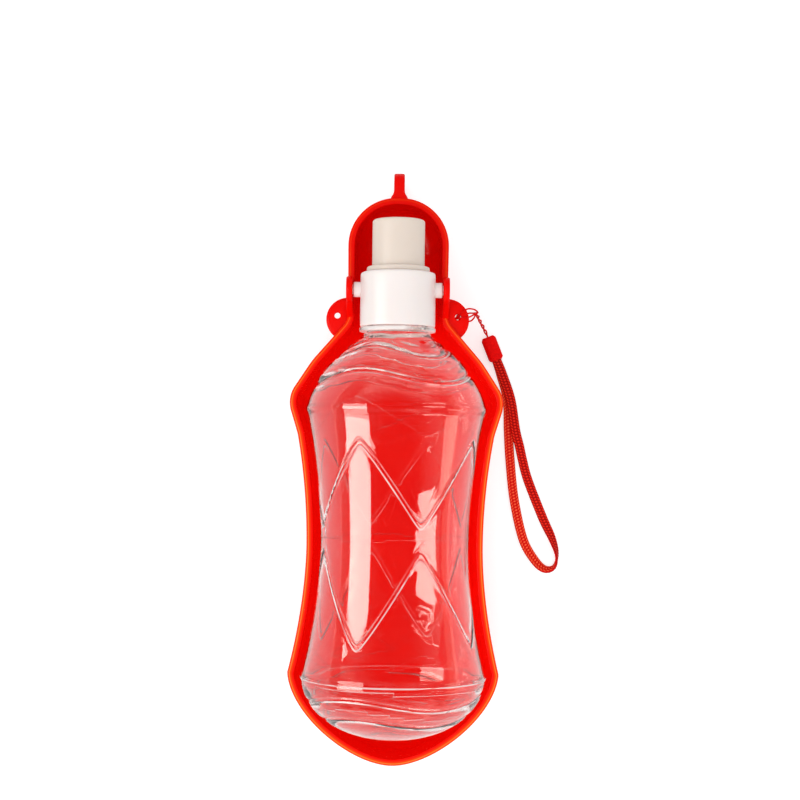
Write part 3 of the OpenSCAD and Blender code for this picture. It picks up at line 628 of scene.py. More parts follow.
angle = full_turn(180)
pin_r, pin_gap = 2, 0.06
lug_t, lug_top = 2.6, 5.5
lug_foot = rim_z - rim_h - pivot_z
lean_normal = unit(np.array([-lug_foot, notch[1] - lug_top]))
lower = reach_within(angle, 40, (0, 0), [
    ((-1, 0), lug_top), ((0, -1), -lug_foot), (lean_normal, lean_normal[0] * lug_top)])
lug_reach = np.where(np.sin(angle) >= 0, lug_top, lower)
lug_edge_r, ear_edge_r = 0.7, 0.9
for name, way in (("right", 1), ("left", -1)):
    lug_middle = np.array([way * (head_w - lug_t / 2), 0, pivot_z])
    lug_rings = plate(lug_middle, np.array([0, 1.0, 0]), np.array([0, 0, 1.0]),
                      lug_reach, pin_r + pin_gap, lug_t, lug_edge_r)
    lug = surface("lug_" + name, lug_rings, joined=True)
    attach(lug, "tray")
    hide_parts("lug_" + name)
    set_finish(lug, "red_shell")

ear_t, ear_hole_r = 2.2, 1.25
ear_in_wall = 1.9               # how deep the ears' edges lie in the tray's wall
slant = unit(np.array(knee) - notch)
wall_normal = np.array([-slant[1], slant[0]])
ear_reach = reach_within(angle, ear_r, ear_middle[:2] - hole[:2], [
    ((-1, 0), hole[0] - (head_w - ear_in_wall)),
    (wall_normal, ear_in_wall - wall_normal @ (hole[:2] - notch))])
for name, way in (("right", 1), ("left", -1)):
    ear_rings = plate(hole * [way, 1, 1], np.array([way, 0, 0.0]), np.array([0, 1.0, 0]),
                      ear_reach, ear_hole_r, ear_t, ear_edge_r, crown=0.35)
    ear = surface("ear_" + name, ear_rings, joined=True)
    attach(ear, "tray")
    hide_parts("ear_" + name)
    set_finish(ear, "red_shell")

# %% [markdown]
# The belt clip grows out of the rim at the head, bends down and runs back under the tray as a
# tongue. It is a bar with soft edges that swells where it meets the rim, as a moulding's root does.

# %% Belt clip
clip_w, clip_t, clip_bend = 4.5, 3, 5
clip_out, clip_tongue, clip_over_table, clip_root = 11.2, 22, 0.8, 1.3
clip_top = rim_z - rim_h / 2 - clip_t / 2
clip_low = clip_over_table + clip_t / 2
clip_far = clip_t / 2 - head_reach - clip_out
bend = np.radians(np.linspace(0, 90, 16))
clip_line = spaced(np.vstack([
    [(-(head_reach - rim_w), clip_top), (-(head_reach + 1), clip_top)],
    np.stack([clip_far + clip_bend * (1 - np.sin(bend)), clip_top - clip_bend * (1 - np.cos(bend))], -1),
    np.stack([clip_far + clip_bend * (1 - np.cos(bend)), clip_low + clip_bend * (1 - np.sin(bend))], -1),
    [(clip_far + clip_bend + clip_tongue, clip_low)]]), 0.8)
clip_run = run(clip_line)
clip_route = np.column_stack([np.zeros(len(clip_line)), clip_line])
to_tip = clip_run[-1] - clip_run
tip = np.sqrt(np.clip(1 - (1 - np.clip(to_tip / (clip_t / 2), 0, 1)) ** 2, 0.02, 1))
root = clip_root * np.exp(-(np.maximum(clip_run - rim_w, 0) / 1.6) ** 2)
across, up = boxy(full_turn(48), 0.35)
clip = surface("belt_clip", swept(clip_route, np.tile([1.0, 0, 0], (len(clip_route), 1)), np.stack([
    across * (clip_w / 2 + root)[:, None] * np.maximum(tip, 0.5)[:, None],
    up * clip_t / 2 * tip[:, None]], -1)))
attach(clip, "tray")
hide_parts("belt_clip")
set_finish(clip, "red_shell")

# %% [markdown]
# ## The bottle
# The bottle is blown from clear plastic, and its relief does most of its looks: two waved steps round
# the shoulder and two round the foot, a crease at the shoulder, a ridge at the hip, and crossing
# zigzag grooves that turn the sides into diamonds. The wall has one thickness, so the inside repeats
# the outside. All of it is one surface of revolution moved along its normal by a relief. The mesh
# also carries the distance from the grooves, which the clear finish uses.

# %% Bottle
neck_top_at, neck_bore_r = -4.2, 10.85
ring_at, ring_r = 15.7, 15.6
thread_pitch, thread_h, thread_turns = 3.18, 1.15, 1.6
thread_foot, thread_crest = 0.32 * thread_pitch, 0.14 * thread_pitch    # half-widths
thread_start_at = neck_top_at + 2.4
bottle_wall = 0.8
highlight_at = 0.85               # how far from a groove's line the painted highlight lies
waved_lines = ((26.3, 2.4), (36.6, 2.5), (166.4, 2.1), (174.3, 1.6))    # station and swing
zigzags = ((63, 95.6, 25, 0.61), (107.7, 143.4, -20, 0.575))    # from, to, degrees on, cosine of the slope
waved_cuts = ((0.6, 2), (0.8, 2.6), (0.6, 2.1), (0.5, 2))       # depth and half-width
zigzag_cut = (0.35, 1.8)


def groove(distance, half_width):
    """1 on a groove's line, falling to 0 at its half-width."""
    return ease(1 - np.abs(distance) / half_width)


def wave(share, roundness=0.985):
    """A zigzag from 0 at whole shares to 1 halfway, as an arcsine of a cosine, with round corners."""
    return 0.5 - 0.5 * np.arcsin(roundness * np.cos(2 * np.pi * share)) / np.arcsin(roundness)


def groove_lines(turn, s):
    """Distance in mm from each waved groove and each zigzag, below it when positive.

    The grooves are s minus a cosine of three times the turn. A zigzag is s minus its own height,
    times the cosine of its slope."""
    ripple = np.cos(3 * (turn + np.radians(28)))
    return ([s - (at - swing * ripple) for at, swing in waved_lines]
            + [(s - mix(first, last, wave((turn + np.radians(on)) / (np.pi / 2)))) * slope
               for first, last, on, slope in zigzags])


def nearest_groove(turn, s):
    """Signed distance in mm to the nearest of those lines. The hip's ridge counts as half a groove."""
    lines = np.stack(np.broadcast_arrays(*groove_lines(turn, s), 0.55 + 2 * np.abs(s - hip_at)))
    return np.take_along_axis(lines, np.abs(lines).argmin(0)[None], 0)[0]


def relief(turn, s):
    """Height over the bottle's plain line in mm, at a turn round the axis and a station s.

    It swells between the shoulder's two steps, at the crease and at the hip, and is cut elsewhere."""
    *waved, upper, lower = groove_lines(turn, s)
    bulge = ease((waved[0] + 1) / 3) * ease((1 - waved[1]) / 3)
    crease = ease((s - 47) / 1.7) * ease((51.8 - s) / 1.7)
    neck_waves = groove(s - 20.2 - 0.4 * np.cos(3 * turn), 1.5) + groove(waved[0] + 3.6, 1.7)
    cuts = sum(depth * groove(line, half) for line, (depth, half) in zip(waved, waved_cuts))
    zigzag = zigzag_cut[0] * np.maximum(groove(upper, zigzag_cut[1]), groove(lower, zigzag_cut[1]))
    return 0.45 * bulge + 0.28 * crease + 0.45 * groove(s - hip_at, 1.3) - 0.35 * neck_waves - cuts - zigzag


def thread(turn, s, start_at, turns, foot_half, crest_half):
    """Height of a thread ridge, 0 to 1: a trapezium about a helix that fades in and out."""
    share = np.mod(np.pi / 2 - turn, 2 * np.pi) / (2 * np.pi)
    height = 0
    for lap in range(3):
        gone = share + lap
        ends = np.clip(np.minimum(gone, turns - gone) / 0.1, 0, 1)
        off = np.abs(s - start_at - thread_pitch * gone)
        height = np.maximum(height, ends * np.clip((foot_half - off) / (foot_half - crest_half), 0, 1))
    return height


def revolved(line, turn):
    """Rings round the bottle's axis: every point of a (radius, station) line at every turn."""
    return on_axis(line[:, :1], line[:, 1:], turn[None, :])


bottle_turn = full_turn(280)
foot_end = np.arccos(base_ring_r / hip_r)


def body(shoulder_rings, side_rings, foot_rings, depth):
    """The body's rings at a depth under its relief, and their stations."""
    s = np.concatenate([np.linspace(shoulder_root_at, shoulder_at, shoulder_rings)[:-1],
                        np.linspace(shoulder_at, hip_at, side_rings)])
    foot_turn = np.linspace(0, foot_end, foot_rings)[1:]
    line = np.vstack([np.stack([body_radius(s), s], -1),
                      np.stack([hip_r * np.cos(foot_turn), hip_at + foot_full * np.sin(foot_turn)], -1)])
    way = unit(np.gradient(line, axis=0))
    height = relief(bottle_turn[None, :], line[:, 1:]) - depth
    return on_axis(line[:, :1] + way[:, 1:] * height, line[:, 1:] - way[:, :1] * height,
                   bottle_turn[None, :]), line[:, 1:]


neck_s = np.concatenate([np.linspace(neck_top_at + 0.4, 5, 40), [8, 12, ring_at - 0.2]])
ridge = thread(bottle_turn[None, :], neck_s[:, None], thread_start_at, thread_turns,
               thread_foot, thread_crest)
lip = rounded([(neck_bore_r, neck_top_at + 3), (neck_bore_r, neck_top_at), (neck_r, neck_top_at),
               (neck_r, neck_top_at + 0.4)], [0.4, 0.4])
support = rounded([(neck_r, ring_at - 0.1), (neck_r, ring_at), (ring_r, ring_at), (ring_r, shoulder_root_at),
                   (neck_r + 0.3, shoulder_root_at)], [0.2, 0.5, 0.5])
dimple_r = np.linspace(8.1, 0.5, 7)
dimple = np.stack([dimple_r, base_at - 1.6 * (1 - (dimple_r / dimple_r[0]) ** 2)], -1)
outer_rings, outer_s = body(58, 128, 30, 0)
bottle_rings = np.concatenate([
    revolved(dimple[::-2] - [0, bottle_wall], bottle_turn),
    body(16, 36, 12, bottle_wall)[0][::-1],
    revolved(np.array([[neck_bore_r, 16.5], [neck_bore_r, 8]]), bottle_turn),
    revolved(lip, bottle_turn),
    on_axis(neck_r + thread_h * ridge, neck_s[:, None], bottle_turn[None, :]),
    revolved(support, bottle_turn),
    outer_rings,
    revolved(dimple, bottle_turn)])
far_off = 9.0                   # the mark where there is no groove line to paint a highlight on
from_groove = np.full(bottle_rings.shape[:2], far_off)
outer_from = len(bottle_rings) - len(dimple) - len(outer_rings)
from_groove[outer_from:-len(dimple)] = nearest_groove(bottle_turn[None, :], outer_s)
# The neck's support ring is painted white on its upper side, with the same painted highlight.
from_groove[outer_from - len(support):outer_from] = highlight_at
bottle = surface("bottle_blown", bottle_rings, marks=("from groove", from_groove))
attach(bottle, "bottle")
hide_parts("bottle_neck", "bottle_upper", "bottle_lower")
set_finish(bottle, "clear_bottle")

# %% [markdown]
# ## Cap and spout
# These are turned shapes, so each is a profile carried round the axis. Their edges are rounded a
# little more than the model's, as on a moulded cap. The cap is bare: the real one carries a printed
# name, which is left out. Its two pins are turned shapes too, about the axis that they fold on.

# %% Cap
cap_above, cap_below = 7, 15.2
cap_r, cap_bore_r, spout_hole_r, cap_top_t = 15.4, 13.95, 8.6, 1.6
cap_turn = full_turn(192)
cap_inner_s = np.linspace(cap_below - 0.3, cap_top_t - cap_above + 0.1, 72)
cap_ridge = thread(cap_turn[None, :], cap_inner_s[:, None], thread_start_at + thread_pitch / 2,
                   thread_turns - 0.1, thread_foot, 0.11 * thread_pitch)
cap_outer = rounded([(spout_hole_r, cap_top_t - cap_above), (spout_hole_r, -cap_above), (cap_r, -cap_above),
                     (cap_r, cap_below), (cap_bore_r, cap_below), (cap_bore_r, cap_below - 0.3)],
                    [0.3, 1.5, 0.5, 0.2], 10)
cap = surface("cap_moulded", np.concatenate([
    revolved(spaced(cap_outer, 2.5), cap_turn),
    on_axis(cap_bore_r - 1.2 * cap_ridge, cap_inner_s[:, None], cap_turn[None, :])]), joined=True)
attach(cap, "cap")
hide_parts("screw_cap")
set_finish(cap, "white_cap")

boss_r, boss_out, shaft_r = 3.1, 2.8, 0.02
boss_line = rounded([(shaft_r, cap_bore_r + 0.5), (boss_r, cap_bore_r + 0.5), (boss_r, cap_r + boss_out),
                     (pin_r, cap_r + boss_out), (pin_r, head_w), (shaft_r, head_w)], [0.1, 0.5, 0.1, 0.4], 6)
turn = full_turn(96)
for name, way in (("right", 1), ("left", -1)):
    boss = surface("trunnion_" + name, np.stack(np.broadcast_arrays(
        way * boss_line[:, 1:], boss_line[:, :1] * np.sin(turn),
        pivot_z + boss_line[:, :1] * np.cos(turn)), -1))
    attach(boss, "cap")
    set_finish(boss, "white_cap")

# %% [markdown]
# The spout has two pieces. The base's flange and tube are clipped into the cap and stay there, with
# a plug in the tube's end on three spokes. The sleeve over it slides out by 4.5 mm to open.

# %% Spout
flange_r, flange_top = 12.9, 9.4
tube_r, tube_bore_r, tube_top = 7.4, 5.9, 26.5
spout_r, spout_top, outlet_r = 10.75, 28.6, 2.7
stop_at, seal_at = 22.3, 24.4
in_hole_r, thin_r, seal_r = spout_hole_r - 0.1, tube_r - 0.7, tube_r - 0.8
base_line = np.vstack([
    rounded([(tube_bore_r, 3.8), (in_hole_r, 3.8), (9.2, 4.8), (9.2, 5.4), (in_hole_r, 5.4),
             (in_hole_r, cap_above), (flange_r, cap_above), (flange_r, flange_top - 0.1),
             (thin_r, flange_top - 0.1), (thin_r, stop_at), (tube_r, stop_at), (tube_r, seal_at - 0.8)],
            [0.1, 0.1, 0.1, 0.1, 0.1, 0.9, 0.9, 0.2, 0.1, 0.1], 8),
    rounded([(seal_r, seal_at - 0.8), (seal_r, seal_at + 0.8), (tube_r, seal_at + 0.8),
             (tube_r, tube_top), (tube_bore_r, tube_top), (tube_bore_r, tube_top - 1)],
            [0.1, 0.1, 0.5, 0.2], 6)])
base = surface("spout_base_moulded", revolved(base_line * [1, -1], cap_turn), joined=True)
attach(base, "cap")
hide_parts("spout_base")
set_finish(base, "cream_spout")

plug_r, plug_from, plug_top = outlet_r - 0.05, 21.5, 28.5
plug_line = rounded([(shaft_r, plug_from), (plug_r, plug_from), (plug_r, plug_top), (shaft_r, plug_top)],
                    0.4, 6)
plug = surface("spout_plug", revolved(plug_line * [1, -1], cap_turn))
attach(plug, "cap")
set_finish(plug, "cream_spout")
spoke_half_w, spoke_half_l, spoke_at = 0.7, 1.5, 23
spoke_from, spoke_to = 1.5, 6.1     # both ends stand in the plug and in the tube's wall
across, up = boxy(full_turn(24), 0.3)
for k in range(3):
    away = np.array([-np.sin(2 * np.pi * k / 3), 0, np.cos(2 * np.pi * k / 3)])
    spoke_line = np.array([0, -spoke_at, pivot_z]) + np.linspace(spoke_from, spoke_to, 6)[:, None] * away
    spoke_side = np.tile(np.cross(away, [0, 1.0, 0]), (6, 1))
    spoke = surface(f"spout_spoke_{k + 1}", swept(spoke_line, spoke_side, np.stack([
        spoke_half_w * across, spoke_half_l * up], -1)))
    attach(spoke, "cap")
    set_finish(spoke, "cream_spout")

plate_at = spout_top - 2
catch_r, sleeve_bore_r, groove_from_r, groove_to_r = 6.82, 7.52, 8.32, 9.25
sleeve_line = rounded([
    (outlet_r, plate_at), (sleeve_bore_r, plate_at), (sleeve_bore_r, 17.8), (catch_r, 17.8), (catch_r, 16.6),
    (groove_from_r, 16.6), (groove_from_r, plate_at), (groove_to_r, plate_at), (groove_to_r, flange_top),
    (spout_r, flange_top), (spout_r, spout_top), (outlet_r, spout_top), (outlet_r, spout_top - 1)],
    [0.1, 0.1, 0.1, 0.1, 0.1, 0.1, 0.1, 0.2, 0.3, 1.3, 0.6], 8)
sleeve = surface("pull_spout_moulded", revolved(spaced(sleeve_line, 2) * [1, -1], cap_turn), joined=True)
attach(sleeve, "spout")
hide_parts("pull_spout")
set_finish(sleeve, "cream_spout")

# %% [markdown]
# ## The ferrule
# The string and the band meet in a short bound sleeve. In the photograph it looks wound rather than
# moulded, so its outside has fine rounds across it. It is hollow: a slot for the band's two ends,
# with a narrow bore for the string below it.

# %% Ferrule
ferrule_len, ferrule_wall, winding_pitch, winding_h = 10.8, 1, 0.72, 0.12
slot_half, slot_from, bore_r = np.array([2.25, 1.5]), 3.55, 0.95
skin_s = np.linspace(0, ferrule_len, 90)
hollow_s = np.array([ferrule_len - 0.1, 7, 3.6, 3.5, 3.4, 0.1])
in_slot = hollow_s > slot_from
winding = winding_h * np.abs(np.sin(np.pi * skin_s / winding_pitch))
ends_in = 0.7 * (ease(1 - skin_s / 1.2) + ease(1 - (ferrule_len - skin_s)))
half = np.vstack([slot_half + (ferrule_wall - winding_h + winding - ends_in)[:, None],
                  np.where(in_slot[:, None], slot_half, bore_r)])
across, up = boxy(full_turn(64), np.concatenate([np.full(90, 0.62), np.where(in_slot, 0.5, 1)])[:, None])
sleeve_s = np.concatenate([skin_s, hollow_s])
ferrule_rings = ((ferrule_from + sleeve_s[:, None] * ferrule_dir)[:, None]
                 + (across * half[:, :1])[..., None] * np.cross(ferrule_dir, [0, 0, 1.0])
                 + (up * half[:, 1:])[..., None] * [0, 0, 1.0])
ferrule = surface("ferrule_bound", ferrule_rings, joined=True, lengths=sleeve_s)
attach(ferrule, "tray")
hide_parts("strap_ferrule")
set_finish(ferrule, "red_ferrule")

# %% [markdown]
# ## Finishes
# Every finish is made from nodes. Three small groups are shared: a moulded surface's slow waviness
# and fine scratches, a speck mask for dust and bubbles, and a colour that wanders a little. Each
# gives only a height, a mask or a colour, and each material mixes them in its own strength.

# %% Node groups


def fill(tree, made, values):
    """Values on a node's input sockets, with a link where one is given."""
    for key, value in values.items():
        if isinstance(value, bpy.types.NodeSocket):
            tree.links.new(value, made.inputs[key])
        else:
            made.inputs[key].default_value = value


def node(tree, kind, values={}, **settings):
    """A node with settings on itself and values on its input sockets."""
    made = tree.nodes.new(kind)
    for key, value in settings.items():
        setattr(made, key, value)
    fill(tree, made, values)
    return made


def noise(tree, vector, scale, detail=3, roughness=0.5):
    """A noise texture's value at a scale in cells a metre."""
    return node(tree, "ShaderNodeTexNoise",
                {"Vector": vector, "Scale": scale, "Detail": detail, "Roughness": roughness}).outputs[0]


def calc(tree, operation, first, *others):
    """The result of math nodes: one value's own, or an operation carried on through several."""
    result = first
    for other in others or (0.0,):
        result = node(tree, "ShaderNodeMath", {0: result, 1: other}, operation=operation).outputs[0]
    return result


def remap(tree, value, low, high, to_low=0.0, to_high=1.0, **settings):
    """A value's range stretched to another, and held to it."""
    return node(tree, "ShaderNodeMapRange", {"Value": value, "From Min": low, "From Max": high,
                                             "To Min": to_low, "To Max": to_high}, **settings).outputs[0]


def between(tree, share, low, high):
    """The value at a share of the way from low to high: low + (high - low) share."""
    return calc(tree, "ADD", low, calc(tree, "MULTIPLY", calc(tree, "SUBTRACT", high, low), share))


def blended(tree, share, a, b):
    """Two colours mixed by a share."""
    return node(tree, "ShaderNodeMix", {0: share, 6: a, 7: b}, data_type="RGBA").outputs[2]


def bump(tree, height, distance):
    """A bump whose height of 1 stands a distance in metres."""
    return node(tree, "ShaderNodeBump", {"Height": height, "Distance": distance}).outputs[0]


def split(tree, vector):
    """The three parts of a vector."""
    return node(tree, "ShaderNodeSeparateXYZ", {0: vector}).outputs


def mark(tree, name):
    """The number that a mesh carries at each point under a name, or 0."""
    return node(tree, "ShaderNodeAttribute", attribute_name=name).outputs["Fac"]


def group(name, inputs, outputs):
    """A new node group with a Vector input and others, and its input sockets and output node."""
    tree = bpy.data.node_groups.new(name, "ShaderNodeTree")
    for label, kind, value in [("Vector", "Vector", (0, 0, 0))] + inputs:
        socket = tree.interface.new_socket(label, in_out="INPUT", socket_type="NodeSocket" + kind)
        socket.default_value = value
    for label, kind in outputs:
        tree.interface.new_socket(label, in_out="OUTPUT", socket_type="NodeSocket" + kind)
    return tree, tree.nodes.new("NodeGroupInput").outputs, tree.nodes.new("NodeGroupOutput")


moulded, start, end = group("moulded surface", [], [("Height", "Float"), ("Scratches", "Float")])
stretched = node(moulded, "ShaderNodeMapping", {"Vector": start[0], "Rotation": (0.3, 0.5, 0.7),
                                                "Scale": (1, 26, 26)}).outputs[0]
fill(moulded, end, {
    0: calc(moulded, "ADD", calc(moulded, "MULTIPLY", noise(moulded, start[0], 55, 2), 0.8),
            calc(moulded, "MULTIPLY", noise(moulded, start[0], 1500, 3), 0.06)),
    1: remap(moulded, noise(moulded, stretched, 60, 3, 0.6), 0.62, 0.74)})

specks, start, end = group("specks", [("Scale", "Float", 260.0), ("Size", "Float", 0.11)],
                           [("Mask", "Float")])
cells = node(specks, "ShaderNodeTexVoronoi", {"Vector": start[0], "Scale": start[1]})
few = remap(specks, noise(specks, start[0], 90, 1), 0.55, 0.62)
fill(specks, end, {0: calc(specks, "MULTIPLY", remap(specks, cells.outputs["Distance"], start[2], 0.0), few)})

grey = (0.5, 0.5, 0.5, 1)
tint, start, end = group("wandering colour", [("Colour", "Color", grey), ("Other", "Color", grey),
                                              ("Scale", "Float", 30.0)], [("Colour", "Color")])
drift = remap(tint, noise(tint, start[0], start[3]), 0.35, 0.65)
fill(tint, end, {0: blended(tint, drift, start[1], start[2])})


def use(tree, shared, values):
    """The results of a shared group placed in a material."""
    return node(tree, "ShaderNodeGroup", values, node_tree=shared).outputs


def material(name):
    """An empty material with its tree, a Principled shader and the object coordinates."""
    made = bpy.data.materials.new(name)
    made.use_nodes = True
    tree = made.node_tree
    return made, tree, tree.nodes["Principled BSDF"], tree.nodes.new("ShaderNodeTexCoord").outputs["Object"]


# %% [markdown]
# The tray's red is a saturated pigment. The photograph is retouched, and in it the rim's outer half is orange
# from the waist to the foot, with a thin pale line along it, while the head is a deeper red. Here those three
# are painted light and shade, laid by the place and by the mark on the rim: the orange is painted light on
# the rim's outer half, the pale line a painted highlight along the bead, both fading towards the head, and
# the head's deeper red is painted shade. The cap is the same kind of moulding in white, tinted pink by
# painted red light bounced from the tray, and the spout in cream.

# %% Plastics


def tray_colours(tree, place, base, edge, line, head_shade):
    """The tray's base colour, darkened at its head by a painted shade, with painted light on the rim's outer
    half and a painted highlight line along it, both fading towards the head.
    """
    outer = mark(tree, "edge")
    # 0.1 at the head to 1 towards the foot, where the painted light is strongest.
    toward_foot = remap(tree, split(tree, place)[1], (pivot_y + 20) * MM, (pivot_y - 60) * MM, 0.1, 1)
    # Painted shade: a deeper red towards the head.
    base = blended(tree, toward_foot, head_shade, base)
    # Orange painted light on the rim's outer half.
    base = blended(tree, calc(tree, "MULTIPLY", remap(tree, outer, 0.25, 0.5), toward_foot), base, edge)
    # A thin painted highlight along the bead, 0.66 of the way out.
    off_highlight = calc(tree, "ABSOLUTE", calc(tree, "SUBTRACT", outer, 0.66))
    return blended(tree, calc(tree, "MULTIPLY", remap(tree, off_highlight, 0.08, 0.02), toward_foot), base, line)


def plastic(name, colour, other, roughness, scatter=0.0, gloss=0.5, tray=None):
    """Moulded plastic: two near colours, slow waves, scratches that dull the gloss, and dust. On the tray,
    its painted light, painted highlight and painted shade go on the colour too.
    """
    made, tree, shader, place = material(name)
    base = use(tree, tint, {"Vector": place, "Colour": colour, "Other": other, "Scale": 34})[0]
    # The tray's painted light, painted highlight and painted shade.
    if tray:
        base = tray_colours(tree, place, base, *tray)
    height, scratches = use(tree, moulded, {"Vector": place})
    dust = use(tree, specks, {"Vector": place, "Scale": 420, "Size": 0.1})[0]
    fill(tree, shader, {
        "Base Color": blended(tree, calc(tree, "MULTIPLY", dust, 0.12), base, (0.8, 0.76, 0.72, 1)),
        "Roughness": calc(tree, "ADD", remap(tree, scratches, 0, 1, roughness, roughness + 0.12),
                          calc(tree, "MULTIPLY", dust, 0.3)),
        "Normal": bump(tree, height, 0.0002), "IOR": 1.49, "Specular IOR Level": gloss,
        "Subsurface Weight": scatter, "Subsurface Radius": (1.0, 0.7, 0.5), "Subsurface Scale": 0.0015})
    return made


# The tray's extra colours: orange painted light, a pale painted highlight and a deeper red painted shade for
# the head.
red_shell = plastic("red moulding", (0.95, 0.004, 0.001, 1), (0.92, 0.003, 0.0008, 1), 0.24, gloss=0.06,
                    tray=((0.98, 0.046, 0.001, 1), (1, 0.24, 0.04, 1), (0.8, 0.002, 0.0006, 1)))
# The cap's white is tinted pink, which is painted red light bounced from the tray.
white_cap = plastic("white moulding", (0.88, 0.815, 0.795, 1), (0.86, 0.795, 0.775, 1), 0.32, scatter=0.15)
cream_spout = plastic("cream moulding", (0.78, 0.68, 0.6, 1), (0.75, 0.65, 0.57, 1), 0.4, scatter=0.2)
seal_rubber = plastic("seal rubber", (0.05, 0.05, 0.052, 1), (0.04, 0.04, 0.042, 1), 0.6)
washer_silicone = plastic("washer silicone", (0.75, 0.74, 0.72, 1), (0.7, 0.69, 0.67, 1), 0.5, scatter=0.3)

# %% [markdown]
# The bottle is a true shell, so refraction and the four reflecting faces along each ray come from its form.
# The banks of its grooves are a little steeper than the mesh can show, and a white diffuse shade is mixed in
# along them: painted highlights that draw the pale lines along the grooves, stronger on the bottle's upper
# side, where the light falls. The neck's support ring is painted white the same way.
# Light has to reach the tray through the bottle: for shadow rays and rays from dull surfaces the
# shader lets everything pass, which stands for the light that real clear plastic bends but keeps.

# %% Clear plastic
clear_bottle, tree, glass, place = material("clear bottle")
below_line = mark(tree, "from groove")
from_line = calc(tree, "ABSOLUTE", below_line)
# Higher up the bottle, the banks' bump grows, and so do the painted highlights, as the light falls from
# above.
upper_side = remap(tree, split(tree, place)[2], (pivot_z - 20) * MM, (pivot_z + 10) * MM, 0.3, 1)
bank = calc(tree, "MULTIPLY", remap(tree, from_line, 0.25, 1.1, interpolation_type="SMOOTHSTEP"), upper_side)
off_bank = calc(tree, "ABSOLUTE", calc(tree, "SUBTRACT", from_line, highlight_at))
patches = remap(tree, noise(tree, place, 75, 2), 0.4, 0.6, 0.2, 0.8)
# Painted highlight: a thin white line along each groove's bank, in patches, fuller below the line.
painted_lines = calc(tree, "MULTIPLY", upper_side, remap(tree, off_bank, 0.35, 0.1),
             remap(tree, below_line, -0.2, 0.2, 0.35, 1), patches)
scuffs = use(tree, moulded, {"Vector": place})[1]
bubbles = use(tree, specks, {"Vector": place, "Scale": 300, "Size": 0.07})[0]
uneven = calc(tree, "ADD", calc(tree, "MULTIPLY", noise(tree, place, 60, 1), 0.2),
              calc(tree, "MULTIPLY", bubbles, 0.1), bank)
fill(tree, glass, {
    "Base Color": use(tree, tint, {"Vector": place, "Colour": (0.985, 0.974, 0.962, 1),
                                   "Other": (0.97, 0.962, 0.955, 1), "Scale": 25})[0],
    "Transmission Weight": 1.0, "IOR": 1.5, "Roughness": remap(tree, scuffs, 0, 1, 0.015, 0.07),
    "Normal": bump(tree, uneven, 0.0003)})
ray = tree.nodes.new("ShaderNodeLightPath").outputs
passing = calc(tree, "MAXIMUM", ray["Is Shadow Ray"], ray["Is Diffuse Ray"])
clear = node(tree, "ShaderNodeBsdfTransparent", {"Color": (0.98, 0.98, 0.98, 1)}).outputs[0]
# The white of the painted highlights.
highlight_white = node(tree, "ShaderNodeBsdfDiffuse", {"Color": (0.9, 0.86, 0.84, 1)}).outputs[0]
highlighted = node(tree, "ShaderNodeMixShader", {0: painted_lines, 1: glass.outputs[0], 2: highlight_white}).outputs[0]
mixed = node(tree, "ShaderNodeMixShader", {0: passing, 1: highlighted, 2: clear}).outputs[0]
fill(tree, tree.nodes["Material Output"], {"Surface": mixed})

# %% [markdown]
# The strap is cord work, with painted shade between its stitches and painted highlights on their tops. The
# band's two faces are not alike in the photograph. Where it lies face up its stitches are light, and past the
# fold, where its back shows, they are dark. The UV map's place round the section tells the two faces apart.
# The string and the ferrule are too fine to show stitches and have fibres alone.

# %% Cord work
red_webbing, tree, shader, place = material("red webbing")
fibres = noise(tree, place, 2600, 4, 0.6)
face = remap(tree, split(tree, node(tree, "ShaderNodeUVMap", uv_map="UVMap").outputs[0])[0], 0.47, 0.53)
# Painted light and shade on the stitches: bright on their raised tops, dark between them.
stitch_light = remap(tree, mark(tree, "raised"), 0.5, 0.9)
front = blended(tree, stitch_light, (0.66, 0.001, 0.001, 1), (1.0, 0.14, 0.05, 1))
back = blended(tree, stitch_light, (0.36, 0.0005, 0.0005, 1), (1.0, 0.03, 0.01, 1))
fill(tree, shader, {
    "Base Color": blended(tree, calc(tree, "MULTIPLY", fibres, 0.1), blended(tree, face, front, back),
                          (0.5, 0.002, 0.002, 1)),
    "Roughness": 0.62, "Specular IOR Level": 0.08, "Normal": bump(tree, fibres, 0.0001)})


def cord_finish(name, deep, bright, scale):
    """Twisted or wound cord: fine fibres between a deep and a bright red."""
    made, tree, shader, place = material(name)
    fibres = noise(tree, place, scale, 4, 0.6)
    fill(tree, shader, {
        "Base Color": blended(tree, remap(tree, fibres, 0.35, 0.65), deep, bright),
        "Roughness": 0.6, "Specular IOR Level": 0.08, "Normal": bump(tree, fibres, 0.00012)})
    return made


red_string = cord_finish("red string", (0.55, 0.001, 0.001, 1), (0.9, 0.003, 0.002, 1), 2400)
red_ferrule = cord_finish("red ferrule", (0.7, 0.0008, 0.0008, 1), (0.92, 0.0015, 0.001, 1), 1500)

# %% [markdown]
# Each piece wears the finish of its slot. The washer and the seal ring keep the CAD model's own
# solids, since both lie hidden and are plain rings, and only get a material.

# %% Finishes onto pieces
finishes = {"red_shell": red_shell, "white_cap": white_cap, "cream_spout": cream_spout,
            "clear_bottle": clear_bottle, "red_string": red_string, "red_ferrule": red_ferrule,
            "red_webbing": red_webbing}
for piece in bpy.data.objects:
    if piece.type == "MESH" and piece.get("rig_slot") in finishes:
        piece.data.materials.clear()
        piece.data.materials.append(finishes[piece["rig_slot"]])
for name, finish in (("neck_gasket", washer_silicone), ("spout_seal", seal_rubber)):
    frame["nodes"][name].data.materials.clear()
    frame["nodes"][name].data.materials.append(finish)
print(len(bpy.data.materials), "materials")

